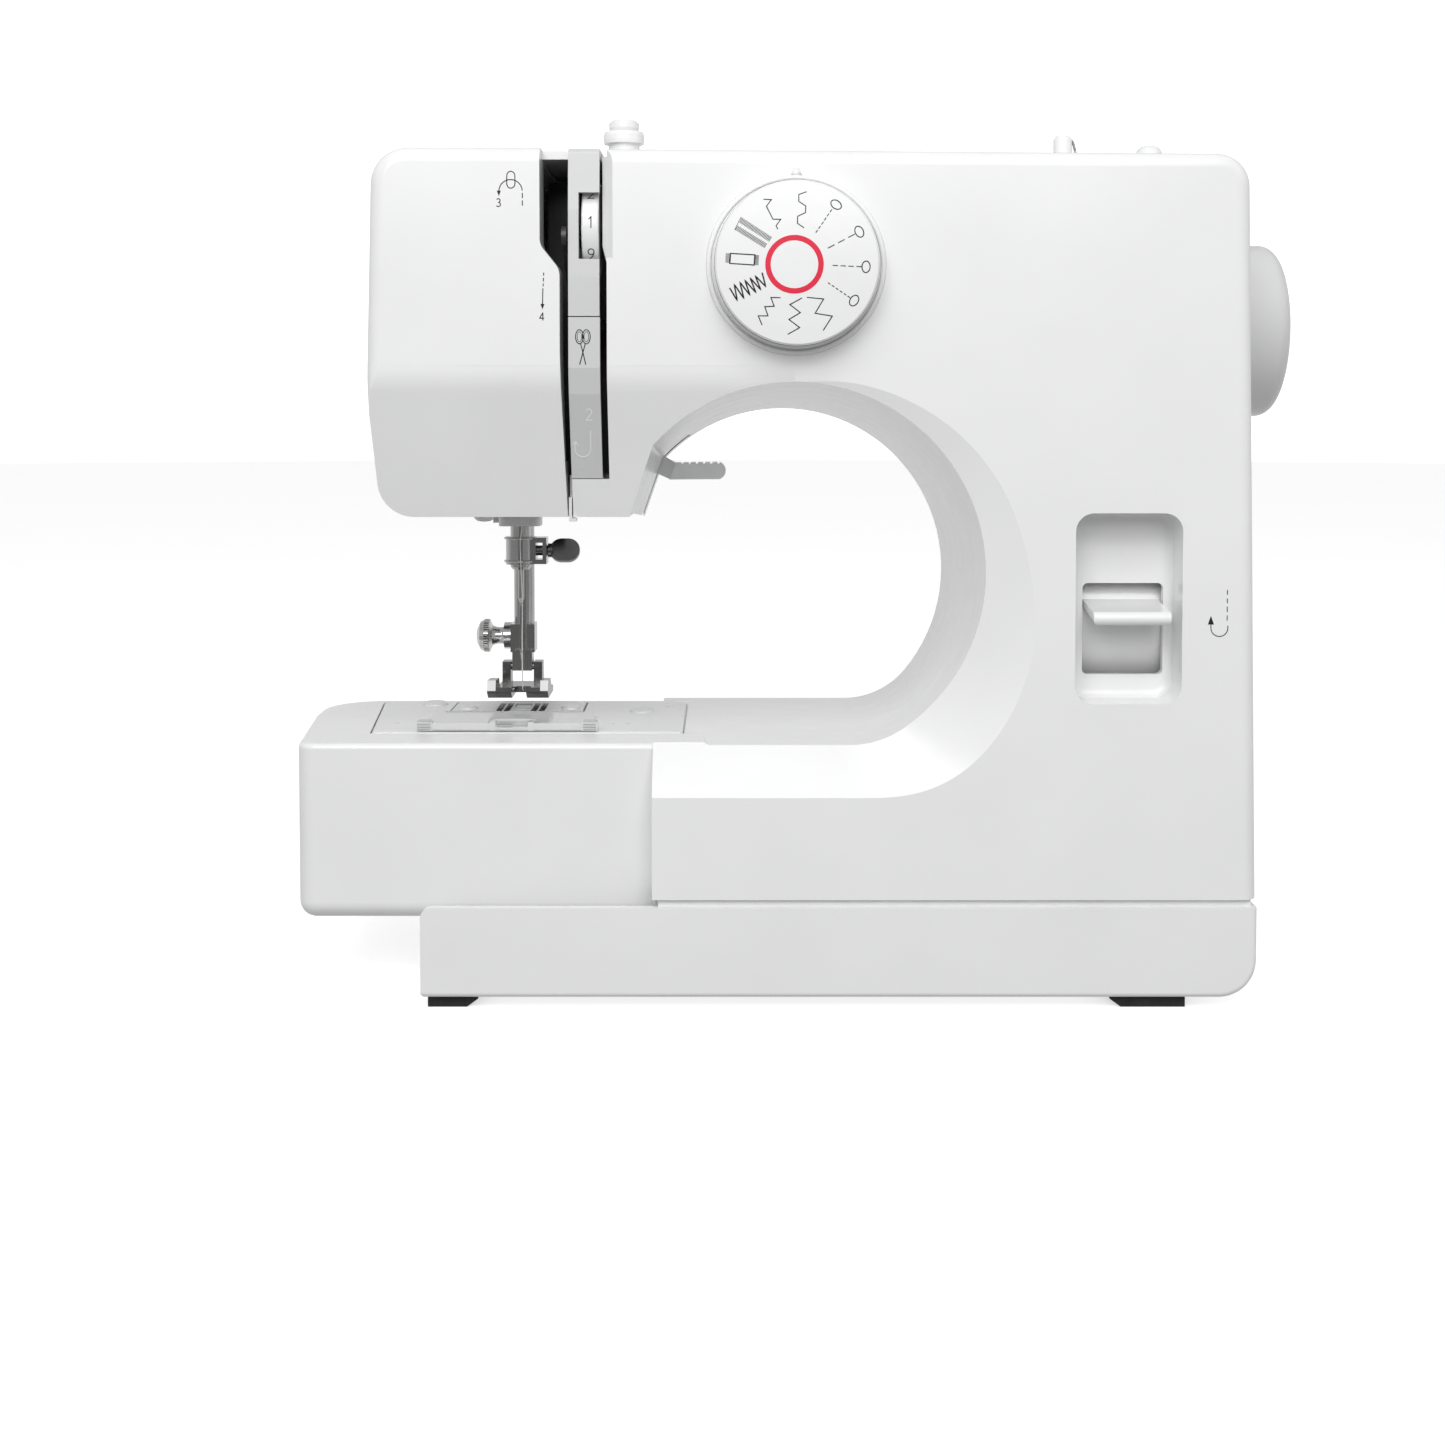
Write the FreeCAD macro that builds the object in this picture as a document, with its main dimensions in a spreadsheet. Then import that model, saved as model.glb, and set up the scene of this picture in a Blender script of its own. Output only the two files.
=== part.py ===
import FreeCAD, Part
import os, math
import Sketcher
from FreeCAD import Vector, Rotation, Placement

doc = FreeCAD.newDocument("machine")
sheet = doc.addObject("Spreadsheet::Sheet", "Params")


class Q:
    """A number together with the sheet expression that gives it."""

    def __init__(self, v, e=None):
        self.v = float(v)
        self.e = e if e is not None else "%.6f" % float(v)

    def bound(self):
        return "Params" in self.e

    def __add__(self, o):
        o = q(o)
        return Q(self.v + o.v, "(%s + %s)" % (self.e, o.e))

    __radd__ = __add__

    def __sub__(self, o):
        o = q(o)
        return Q(self.v - o.v, "(%s - (%s))" % (self.e, o.e))

    def __rsub__(self, o):
        o = q(o)
        return Q(o.v - self.v, "(%s - (%s))" % (o.e, self.e))

    def __mul__(self, o):
        o = q(o)
        return Q(self.v * o.v, "(%s * (%s))" % (self.e, o.e))

    __rmul__ = __mul__

    def __truediv__(self, o):
        o = q(o)
        return Q(self.v / o.v, "(%s / (%s))" % (self.e, o.e))

    def __neg__(self):
        return Q(-self.v, "(0 - %s)" % self.e)


def q(a):
    return a if isinstance(a, Q) else Q(a)


rows = [0]


def P(alias, value):
    rows[0] += 1
    sheet.set("A%d" % rows[0], alias)
    sheet.set("B%d" % rows[0], str(value))
    sheet.setAlias("B%d" % rows[0], alias)
    return Q(value, "Params." + alias)


# ---- sizes, millimetres -------------------------------------------------
wall = P("wall", 2.4)
y_front = P("y_front", -49.5)
y_back = P("y_back", 58.5)
y_part = P("y_part", 28.5)
z_top_l = P("z_top_left", 234.9)
z_top_r = P("z_top_right", 233.3)
z_cov = P("z_cover_bottom", 30.6)
z_base_top = P("z_base_top", 28.4)
z_base_bot = P("z_base_bottom", 3.5)
z_bed = P("z_bed", 69.5)
bed_top = P("bed_top", 71.4)
z_head = P("z_head_bottom", 134.5)
x_cov_l = P("x_cover_left", -56.6)
x_low_l = P("x_cover_low_left", -66.9)
x_skirt = P("x_skirt", -44.7)
x_seam = P("x_seam", -36.4)
x_right = P("x_right", 120.7)
x_base_l = P("x_base_left", -108.1)
x_head_l = P("x_head_left", -120.3)
thr_x = P("throat_x", -6.0)
thr_y = P("throat_y", -39.5)
thr_z = P("throat_z", 118.6)
thr_r = P("throat_radius", 52.5)
thr_tilt = P("throat_tilt", -3.65)
nx = P("needle_x", -88.0)
ny = P("needle_y", 24.0)
pby = P("presser_y", 33.4)
sh_z = P("shaft_z", 188.6)
sh_r = P("shaft_radius", 4.0)
low_z = P("low_shaft_z", 42.0)
hook_y = P("hook_y", 4.0)
crank = P("crank_radius", 12.5)
bar_r = P("bar_radius", 3.2)
arm_front = P("arm_front", -37.5)
arm_back = P("arm_back", 41.0)
arm_bot = P("arm_bottom", 21.8)
dial_x = P("dial_x", -5.65)
dial_z = P("dial_z", 203.1)
dial_r = P("dial_radius", 22.3)
wheel_r = P("handwheel_radius", 26.2)
wheel_x = P("handwheel_x", 120.4)
wheel_w = P("handwheel_width", 25.9)
ten_y = P("tension_y", -35.6)
ten_z = P("tension_z", 213.8)
ten_r = P("tension_radius", 12.6)
rev_y = P("reverse_y", -10.0)
rev_z = P("reverse_z", 104.0)
sole_z = P("sole_z", 76.2)
plate_z = P("plate_top", 71.5)
run_fit = P("run_fit", 0.05)
foot_h = P("foot_height", 3.5)


# ---- helpers ------------------------------------------------------------
def bind(obj, prop, val):
    val = q(val)
    if val.bound():
        obj.setExpression(prop, val.e)
    return val.v


def place(obj, x=0, y=0, z=0, axis=None, ang=None):
    x, y, z = q(x), q(y), q(z)
    rot = Rotation()
    if axis is not None:
        rot = Rotation(Vector(*axis), q(ang).v)
    obj.Placement = Placement(Vector(x.v, y.v, z.v), rot)
    for n, val in (("x", x), ("y", y), ("z", z)):
        if val.bound():
            obj.setExpression("Placement.Base." + n, val.e)
    if axis is not None and q(ang).bound():
        obj.setExpression("Placement.Rotation.Angle", q(ang).e)
    return obj


def box(x0, x1, y0, y1, z0, z1):
    o = doc.addObject("Part::Box", "block")
    x0, x1, y0, y1, z0, z1 = [q(i) for i in (x0, x1, y0, y1, z0, z1)]
    for prop, d in (("Length", x1 - x0), ("Width", y1 - y0), ("Height", z1 - z0)):
        setattr(o, prop, d.v)
        bind(o, prop, d)
    place(o, x0, y0, z0)
    return o


def cyl(axis, x, y, z, r, length):
    """Cylinder from (x,y,z) along +axis."""
    o = doc.addObject("Part::Cylinder", "round")
    o.Radius = q(r).v
    o.Height = q(length).v
    bind(o, "Radius", r)
    bind(o, "Height", length)
    if axis == "x":
        place(o, x, y, z, (0, 1, 0), 90)
    elif axis == "y":
        place(o, x, y, z, (1, 0, 0), -90)
    else:
        place(o, x, y, z)
    return o


def cone(axis, x, y, z, r1, r2, length):
    o = doc.addObject("Part::Cone", "taper")
    o.Radius1, o.Radius2, o.Height = q(r1).v, q(r2).v, q(length).v
    bind(o, "Radius1", r1)
    bind(o, "Radius2", r2)
    bind(o, "Height", length)
    if axis == "x":
        place(o, x, y, z, (0, 1, 0), 90)
    elif axis == "y":
        place(o, x, y, z, (1, 0, 0), -90)
    else:
        place(o, x, y, z)
    return o


def fuse(*objs):
    objs = list(objs)
    if len(objs) == 1:
        return objs[0]
    o = doc.addObject("Part::MultiFuse", "joined")
    o.Shapes = objs
    return o


def cut(a, *tools):
    for b in tools:
        o = doc.addObject("Part::Cut", "cutting")
        o.Base = a
        o.Tool = b
        a = o
    return a


def common(a, b):
    o = doc.addObject("Part::MultiCommon", "shared")
    o.Shapes = [a, b]
    return o


def group(*objs):
    o = doc.addObject("Part::Compound", "several")
    o.Links = list(objs)
    return o


def arc_center(p, n, r, side):
    dx, dz = n[0] - p[0], n[1] - p[1]
    d = math.hypot(dx, dz)
    hgt = math.sqrt(max(r * r - d * d / 4.0, 0.0))
    mx, mz = (p[0] + n[0]) / 2.0, (p[1] + n[1]) / 2.0
    return mx - side * hgt * dz / d, mz + side * hgt * dx / d


def fill(sk, loops):
    """Closed loops of vertices; a third and fourth entry make the next edge an arc."""
    zero = Vector(0, 0, 0)
    for loop in loops:
        if loop[0] == "circle":
            cu, cv, r = q(loop[1]), q(loop[2]), q(loop[3])
            g = sk.addGeometry(Part.Circle(Vector(cu.v, cv.v, 0), Vector(0, 0, 1), r.v), False)
            for kind, val, ax in (("DistanceX", cu, -2), ("DistanceY", cv, -1)):
                if abs(val.v) < 1e-9:
                    sk.addConstraint(Sketcher.Constraint("PointOnObject", g, 3, ax))
                else:
                    c = sk.addConstraint(Sketcher.Constraint(kind, -1, 1, g, 3, val.v))
                    if val.bound():
                        sk.setExpression("Constraints[%d]" % c, val.e)
            c = sk.addConstraint(Sketcher.Constraint("Radius", g, r.v))
            if r.bound():
                sk.setExpression("Constraints[%d]" % c, r.e)
            continue
        n = len(loop)
        ends = []
        for i in range(n):
            a, b = loop[i], loop[(i + 1) % n]
            pa, pb = (q(a[0]).v, q(a[1]).v), (q(b[0]).v, q(b[1]).v)
            if len(a) > 2:
                r, side = q(a[2]), a[3]
                cx, cz = arc_center(pa, pb, r.v, side)
                s, e = (pa, pb) if side > 0 else (pb, pa)
                a0 = math.atan2(s[1] - cz, s[0] - cx)
                a1 = math.atan2(e[1] - cz, e[0] - cx)
                if a1 <= a0:
                    a1 += 2 * math.pi
                g = sk.addGeometry(Part.ArcOfCircle(Part.Circle(Vector(cx, cz, 0), Vector(0, 0, 1), r.v), a0, a1), False)
                ends.append((g, 1, 2, r) if side > 0 else (g, 2, 1, r))
            else:
                g = sk.addGeometry(Part.LineSegment(Vector(pa[0], pa[1], 0), Vector(pb[0], pb[1], 0)), False)
                ends.append((g, 1, 2, None))
        for i in range(n):
            g, ps, pe, r = ends[i]
            g2, ps2, pe2, r2 = ends[(i + 1) % n]
            sk.addConstraint(Sketcher.Constraint("Coincident", g, pe, g2, ps2))
        for i in range(n):
            g, ps, pe, r = ends[i]
            for kind, val, ax in (("DistanceX", q(loop[i][0]), -2), ("DistanceY", q(loop[i][1]), -1)):
                if abs(val.v) < 1e-9:
                    sk.addConstraint(Sketcher.Constraint("PointOnObject", g, ps, ax))
                else:
                    c = sk.addConstraint(Sketcher.Constraint(kind, -1, 1, g, ps, val.v))
                    if val.bound():
                        sk.setExpression("Constraints[%d]" % c, val.e)
            if r is not None:
                c = sk.addConstraint(Sketcher.Constraint("Radius", g, r.v))
                if r.bound():
                    sk.setExpression("Constraints[%d]" % c, r.e)


def plane_of(body, role):
    for o in body.Origin.OriginFeatures:
        if o.Role == role:
            return o


def sketch(body, role, loops, off):
    sk = body.newObject("Sketcher::SketchObject", "outline")
    sk.AttachmentSupport = (plane_of(body, role), [""])
    sk.MapMode = "FlatFace"
    off = q(off)
    sk.AttachmentOffset = Placement(Vector(0, 0, off.v), Rotation())
    if off.bound():
        sk.setExpression("AttachmentOffset.Base.z", off.e)
    fill(sk, loops)
    return sk


def pad(role, loops, a, b):
    """Prism of a closed outline between coordinates a < b along the plane's axis."""
    body = doc.addObject("PartDesign::Body", "body")
    a, b = q(a), q(b)
    sk = sketch(body, role, loops, -b if role == "XZ_Plane" else a)
    f = body.newObject("PartDesign::Pad", "pad")
    f.Profile = sk
    f.Length = (b - a).v
    bind(f, "Length", b - a)
    sk.Visibility = False
    return body


def pocket(body, role, loops, a, b):
    a, b = q(a), q(b)
    sk = sketch(body, role, loops, -a if role == "XZ_Plane" else b)
    f = body.newObject("PartDesign::Pocket", "pocket")
    f.Profile = sk
    f.Length = (b - a).v
    bind(f, "Length", b - a)
    sk.Visibility = False
    return body


def turn(profile, x, y, z, axis):
    """Turned part: profile of (radius, along) about the given axis from (x,y,z)."""
    body = doc.addObject("PartDesign::Body", "body")
    sk = sketch(body, "XZ_Plane", [profile], 0)
    f = body.newObject("PartDesign::Revolution", "turned")
    f.Profile = sk
    f.ReferenceAxis = (sk, ["V_Axis"])
    f.Angle = 360
    if axis == "x":
        place(body, x, y, z, (0, 1, 0), 90)
    elif axis == "-y":
        place(body, x, y, z, (1, 0, 0), 90)
    elif axis == "y":
        place(body, x, y, z, (1, 0, 0), -90)
    else:
        place(body, x, y, z)
    return body


def fillet(obj, radius, pick, fallback=True):
    """Round the picked edges; smaller radii are tried if the first is refused."""
    doc.recompute()
    edges = [i + 1 for i, e in enumerate(obj.Shape.Edges) if pick(e)]
    if not edges:
        print("no edges picked", obj.Label)
        return obj
    for r in (radius, radius * 0.8, radius * 0.6, radius * 0.4):
        try:
            s = obj.Shape.makeFillet(r, [obj.Shape.Edges[i - 1] for i in edges])
            ok = s.isValid() and s.Volume > 0
        except Exception:
            ok = False
        if ok:
            o = doc.addObject("Part::Fillet", "rounded")
            o.Base = obj
            o.Edges = [(i, r, r) for i in edges]
            if r != radius:
                print("fillet reduced", r)
            return o
    print("fillet refused", radius, len(edges))
    return obj


def mid(e):
    return e.valueAt((e.FirstParameter + e.LastParameter) / 2.0)


def rrect(u0, u1, v0, v1, r):
    u0, u1, v0, v1, r = [q(i) for i in (u0, u1, v0, v1, r)]
    return [(u0 + r, v0), (u1 - r, v0, r, 1), (u1, v0 + r), (u1, v1 - r, r, 1),
            (u1 - r, v1), (u0 + r, v1, r, 1), (u0, v1 - r), (u0, v0 + r, r, 1)]


def rounded(verts):
    """Outline of corners (u, v, radius) with each rounded by a tangent arc."""
    out = []
    n = len(verts)
    for i in range(n):
        u, v, r = verts[i]
        if r <= 0:
            out.append((u, v))
            continue
        pu, pv = q(u).v, q(v).v
        a, b = verts[i - 1], verts[(i + 1) % n]
        d1 = (q(a[0]).v - pu, q(a[1]).v - pv)
        d2 = (q(b[0]).v - pu, q(b[1]).v - pv)
        l1, l2 = math.hypot(*d1), math.hypot(*d2)
        d1 = (d1[0] / l1, d1[1] / l1)
        d2 = (d2[0] / l2, d2[1] / l2)
        ang = math.acos(max(-1, min(1, d1[0] * d2[0] + d1[1] * d2[1])))
        t = r / math.tan(ang / 2.0)
        side = 1 if d1[0] * d2[1] - d1[1] * d2[0] < 0 else -1
        out.append((u + d1[0] * t, v + d1[1] * t, r, side))
        out.append((u + d2[0] * t, v + d2[1] * t))
    return out


nodes = {}


def node(name, obj):
    obj.Label = name
    nodes[name] = obj
    return obj


# ---- the throat: the space that the covers go round ----------------------
def throat(off):
    off = q(off)
    R = thr_r + off
    a1, a0 = math.radians(137.3), math.radians(-118.0)
    prof = [(R * math.cos(a0), R * math.sin(a0), R, 1), (R, 0, R, 1),
            (R * math.cos(a1), R * math.sin(a1)), (-46.0 - off, 14.4), (-46.0 - off, R * math.sin(a0))]
    rnd = pad("XZ_Plane", [prof], -32, 116)
    place(rnd, thr_x, thr_y, thr_z, (1, 0, 0), thr_tilt)
    # the bed beside the pillar falls a little towards the back
    rnd = cut(rnd, pad("YZ_Plane", [[(-200, bed_top - off + 3.25), (200, bed_top - off - 4.75), (200, -60), (-200, -60)]], -200, 200))
    rnd = fillet(rnd, 26.0, lambda e: abs(mid(e).z - (bed_top.v - off.v - 0.75 - 0.02 * mid(e).y)) < 0.05 and mid(e).x > 5)
    left = box(-260, -51.0, -200, 200, z_bed - off, z_head + off)
    return rnd, left


void_r, void_l = throat(0)
big_r, big_l = throat(wall)

# front shape cutters: the upper face bends back a little, the head leans back below its crease
upper_cut = pad("YZ_Plane", [[(-49.5, 160, 1500, -1), (-47.37, 240), (-75, 240), (-75, 160)]], -140, 140)
lean = [(-49.45, 176.1, 18.0, 1), (-48.25, 169.15), (-26.2, 110.1), (-75, 110.1), (-75, 176.1)]
lean_cut = pad("YZ_Plane", [lean], -140, thr_x)


def band(dy, grow):
    """Sloping band from the front face down to the throat rim."""
    B0 = (-6.0, 118.5)
    spec = [(92, 52.6), (83, 53.8), (73.7, 55.1), (61.8, 56.5), (48.5, 58.2), (35.5, 60.0), (22.5, 61.6), (10.8, 62.8), (-1.5, 64.1),
            (-12.1, 65.5), (-21.4, 66.7), (-32.7, 68.2), (-42.1, 69.3), (-50.3, 69.4), (-57.8, 68.2), (-64.4, 65.9), (-72.3, 62.8)]
    A, B = [], []
    for d, r in spec:
        c, s = math.cos(math.radians(d)), math.sin(math.radians(d))
        A.append((B0[0] + r * c, B0[1] + r * s))
        zb = B0[1] + 52.5 * s
        xb = B0[0] + 52.5 * c
        if d < -60:
            zb = {-64.4: 72.9, -72.3: 71.4}[d]
        B.append((xb, zb))
    A[-1] = (13.1, 58.7)
    B[-1] = (8.0, 71.4)
    A += [(-90.0, 58.7)]
    B += [(-90.0, 71.4)]
    slope = [0.36] * 10 + [0.38, 0.44, 0.52, 0.60, 0.66, 0.70, 0.72, 0.72]

    def wire(y):
        # the band is nearly flat at the side and steeper along the bed
        pts = []
        for a, b, s in zip(A, B, slope):
            t = (y + 49.5) / s / math.hypot(b[0] - a[0], b[1] - a[1])
            pts.append(Vector(a[0] + (b[0] - a[0]) * t, y + dy, a[1] + (b[1] - a[1]) * t))
        pts[-1].z = pts[-2].z
        sp = Part.BSplineCurve()
        sp.interpolate(pts[:-1])
        e = [sp.toShape()]
        ring = [pts[-2], pts[-1], Vector(-90, y + dy, 100), Vector(-20, y + dy, 125), pts[0]]
        for i in range(len(ring) - 1):
            e.append(Part.LineSegment(ring[i], ring[i + 1]).toShape())
        return Part.Wire(e)

    o = doc.addObject("Part::Feature", "band")
    o.Shape = Part.makeLoft([wire(-53.7), wire(-36.3)], True, True)
    return o


# ---- front cover -----------------------------------------------------------
def front_outline(i):
    i = q(i)
    return rounded([(x_low_l + i, 100, 0), (x_low_l + i, 145.2 - i, 0), (x_cov_l + i, 145.2 - i, 0), (x_cov_l + i, z_top_l - 0.3 - i, 0),
                    (x_right - 3.9 - i, z_top_r - i, 9.0 - i.v), (x_right - i, z_cov + i, 0), (x_skirt + i, z_cov + i, 0), (x_skirt + i, 100, 0)])


blk = cut(pad("XZ_Plane", [front_outline(0)], y_front, y_part), upper_cut)
blk = fillet(blk, 4.0, lambda e: mid(e).y < -45 and (mid(e).x > 110 or mid(e).z > 229) and mid(e).z > 40 and e.Length > 3)
blk = cut(blk, lean_cut, void_r, void_l, band(0, 0))
arm_room = box(x_skirt - 5, x_seam, arm_front, y_part + 5, 10, z_bed + 5)
blk = cut(blk, arm_room)
core = pad("XZ_Plane", [front_outline(wall)], y_front + wall, y_part + 5)
lean_in = pad("YZ_Plane", [[(a[0] + 2.6,) + tuple(a[1:]) for a in lean]], -140, thr_x)
core = cut(core, lean_in, big_r, big_l, band(3.0, 0))
core = cut(core, box(-50, x_seam, -60, arm_front + 0.01, 60, 80))
core = fuse(core, box(-42.3, x_seam + 3, arm_front - 0.02, y_part + 5, z_cov + wall, z_bed - wall))
# a cup for the reverse lever
cup = box(68.4, 101.0, y_front + 0.2, -34.0, 82.5, 138.0)
front = fuse(cut(blk, core), common(cup, blk))
rec = pad("XZ_Plane", [rrect(70.2, 99.2, 84.4, 136.3, 5.0)], y_front - 2, -36.4)
rec = fillet(rec, 2.2, lambda e: abs(mid(e).y + 36.4) < 0.01)
win = pad("XZ_Plane", [rrect(74.6, 97.0, 90.7, 116.2, 1.5)], -40, -30)
dial_hole = cyl("y", dial_x, -60, dial_z, 4.6, 20)
winder_slot = pad("XY_Plane", [rrect(72.6, 83.9, 4.6, 11.4, 3.3)], 220, 245)
guide_hole = cyl("z", -53.4, -19.5, 225, 2.0, 20)
switch_hole = box(110, 130, 4.8, 19.2, 60.8, 83.2)
bump = cyl("y", -6.0, -49.4, 227.6, 1.3, 3.0)
front = cut(front, rec, win, dial_hole, winder_slot, guide_hole, switch_hole)
shaft_gap = cyl("x", 110, ny, sh_z, 6.0, 20)
front = cut(front, shaft_gap)
sw_pin = fuse(cyl("y", 116.2, 3.0, 72.0, 1.5, 18.0), box(113.2, 118.4, 2.4, 4.4, 69.5, 74.5), box(113.2, 118.4, 19.6, 21.6, 69.5, 74.5))
stop = turn([(0, 231.5), (3.9, 231.5), (3.9, 240.4, 2.7, 1), (1.6, 243.0), (0, 243.0)], 102.0, 8.0, 0, "z")
front = cut(front, box(x_skirt + wall, x_right - wall - 0.5, y_front + wall, y_part + 5, 29, z_cov + wall + 0.1), box(-60, -54, -40, y_part + 5, 147.7, 231))
strip = pad("XZ_Plane", [[(-57.9, 208.5), (-56.6, 203.4), (-55.0, 203.4), (-55.0, 232.4), (-57.9, 232.4)]], -47.4, -40.4)
front = fuse(front, strip, bump, sw_pin, stop)
front = cut(front, pad("XY_Plane", [[(-58.4, -45.2), (-54.9, -49.6), (-58.4, -49.6)]], 205.0, 240))
node("front_cover", front)


# ---- rear cover -------------------------------------------------------------
def rear_outline(i):
    i = q(i)
    return rounded([(x_head_l + i, z_head + i, 9.5 - i.v), (x_head_l - 1.6 + i, 172.5, 60.0), (x_head_l + i, z_top_l + 0.1 - i, 10.0 - i.v),
                    (x_right - 3.9 - i, z_top_r - i, 9.0 - i.v), (x_right - i, z_cov + i, 0),
                    (x_skirt + i, z_cov + i, 0), (x_skirt + i, 110, 0), (-70, 110, 0), (-70, z_head + i, 0)])


rblk = pad("XZ_Plane", [rear_outline(0)], y_part, y_back)
rblk = fillet(rblk, 5.0, lambda e: mid(e).y > 58 and mid(e).z > z_head.v - 0.1 and not (mid(e).x < -60 and mid(e).x > -71))
rblk = cut(rblk, void_r, void_l)
rblk = cut(rblk, box(x_skirt - 5, x_seam, y_part - 5, arm_back, 10, z_bed + 5))
rcore = pad("XZ_Plane", [rear_outline(wall)], y_part - 5, y_back - wall)
rcore = cut(rcore, big_r, big_l)
rcore = fuse(rcore, box(-42.3, x_seam + 3, y_part - 5, arm_back + 0.02, z_cov + wall, z_bed - wall))
rear = cut(rblk, rcore)
rear = cut(rear, shaft_gap, box(-101.0, -75.5, 10, 38.4, 125, 140))
rear = cut(rear, box(-64, -30, 40.3, 48.7, 118, 156.5))
rear = cut(rear, cyl("z", 20, 41.0, 225, 3.0, 20), cyl("x", 112, 38, 48, 4.3, 20), cyl("x", 112, 38, 66, 3.2, 20))
for sx, sz in ((-108, 222), (-30, 222), (104, 222), (104, 45), (-25, 45), (104, 130)):
    rear = cut(rear, cyl("y", sx, 57.2, sz, 3.6, 5), cyl("y", sx, 50, sz, 1.7, 10))
rear = cut(rear, box(x_skirt + wall, x_right - wall - 0.5, y_part - 5, y_back - wall, 29, z_cov + wall + 0.1))
node("rear_cover", rear)


# ---- face cover ---------------------------------------------------------------
def face_outline(i):
    i = q(i)
    return rounded([(x_head_l + i, z_head + i, 9.5 - i.v), (x_head_l - 1.6 + i, 172.5, 60.0), (x_head_l + i, z_top_l + 0.1 - i, 10.0 - i.v),
                    (-74.6 - i, z_top_l - i, 0), (-74.6 - i, 208.6, 4.6), (-69.3 - i, 202.0, 4.6), (-69.3 - i, 180, 0), (-68.4 - i, z_head + i, 0)])


fblk = cut(pad("XZ_Plane", [face_outline(0)], y_front, y_part), upper_cut)
fblk = fillet(fblk, 4.0, lambda e: mid(e).y < -45 and (mid(e).x < -100 or mid(e).z > 229) and mid(e).x < -75.5)
fblk = cut(fblk, lean_cut)
fcore = pad("XZ_Plane", [face_outline(wall)], y_front + wall, y_part + 5)
fcore = cut(fcore, pad("YZ_Plane", [[(a[0] + 2.6,) + tuple(a[1:]) for a in lean]], -140, -60))
face = cut(fblk, fcore)
# inner side is open behind the slot wall, and the bars leave through the underside
face = cut(face, box(-78, -60, -38, y_part + 5, 150, 231), box(-78, -60, -30, y_part + 5, 137.5, 150.1), box(-101.0, -75.5, 10, 38.4, 125, 140), cyl("z", -96.6, 3.0, 125, 3.6, 20))
face = fuse(face, box(-75.2, -67.3, -41.5, y_part, 232.4, 234.7), box(-75.2, -57.2, -19.4, y_part, 232.4, 234.5))
node("face_cover", face)

# ---- base tray ------------------------------------------------------------------
bout = [(x_base_l, z_base_bot + 1), (x_base_l, z_base_top - 3.0, 3.0, -1), (x_base_l + 3.0, z_base_top), (x_right, z_base_top), (x_right, z_base_bot + 10.2, 10.2, -1), (x_right - 10.2, z_base_bot), (x_base_l + 1, z_base_bot)]
tray = pad("XZ_Plane", [bout], y_front, y_back)
tray = fillet(tray, 1.5, lambda e: (abs(mid(e).y + 49.5) < 0.01 or abs(mid(e).y - 58.5) < 0.01) and abs(mid(e).z - 28.4) > 0.1 and mid(e).x > -107)
tray = cut(tray, box(x_base_l + wall, x_right - wall - 8.0, y_front + wall, y_back - wall, z_base_bot + wall, 40))
lip = cut(box(x_skirt + 1.6, x_right - 1.6, y_front + 1.6, y_back - 1.6, z_base_top - 2, z_cov),
          box(x_skirt - 5, x_right - 12.4, y_front + 4.0, y_back - 4.0, 20, 40))
tray = fuse(tray, lip)
tray = cut(tray, box(-115, -60, y_front + wall + 0.3, arm_back + 0.6, arm_bot - 0.6, 40), box(x_skirt - 2, x_seam + 1, arm_front - 0.6, arm_back + 0.6, arm_bot - 0.6, 40))
node("base_tray", tray)

feet = []
for x0, x1, y0, y1, s in ((-106.6, -92.8, -46, -30, 1), (81.2, 101.9, -46, -30, -1), (-106.6, -92.8, 39, 55, 1), (81.2, 101.9, 39, 55, -1)):
    if s > 0:
        prof = [(x0, 0), (x1 - 3, 0), (x1, 2.2), (x1, foot_h), (x0, foot_h)]
    else:
        prof = [(x0 + 3, 0), (x1, 0), (x1, foot_h), (x0, foot_h), (x0, 2.2)]
    feet.append(pad("XZ_Plane", [prof], y0, y1))
node("rubber_feet", group(*feet))

# ---- free arm ----------------------------------------------------------------------
def arm_plan(i):
    i = q(i)
    return rounded([(x_seam, arm_front + i, 0), (x_seam, arm_back - i, 0), (-150.1 + i, arm_back - i, 17.5 - i.v), (-149.8 + i, 14.0, 60.0), (-143.9 + i, arm_front + i, 5.0 - i.v)])


def on_left(e):
    return not (abs(mid(e).x - x_seam.v) < 0.01)


ablk = pad("XY_Plane", [arm_plan(0)], arm_bot, bed_top)
ablk = fillet(ablk, 4.8, lambda e: abs(mid(e).z - arm_bot.v) < 0.01 and on_left(e))
ablk = fillet(ablk, 1.6, lambda e: abs(mid(e).z - bed_top.v) < 0.01 and on_left(e))
acore = pad("XY_Plane", [arm_plan(wall)], arm_bot + wall, z_bed - wall)
arm = cut(ablk, fuse(acore, box(x_seam - 4, x_seam + 4, arm_front + 10.5, arm_back - 10.5, arm_bot + wall, z_bed - wall)))
arm = cut(arm, box(-111.5, -64.5, -16.0, 14.4, 60, 75), box(-101.0, -76.0, 14.0, 35.0, 60, 75), cyl("z", -104.6, 24.5, 60, 1.5, 20), cyl("z", -72.8, 24.5, 60, 1.5, 20))
arm = cut(arm, pad("XY_Plane", [[(-126.85, -20.75), (x_seam + 1, -20.75), (x_seam + 1, 38.45), (-130.0, 38.45, 4.25, 1), (-132.85, 34.0)]], z_bed, 80))
node("free_arm_cover", arm)

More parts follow.
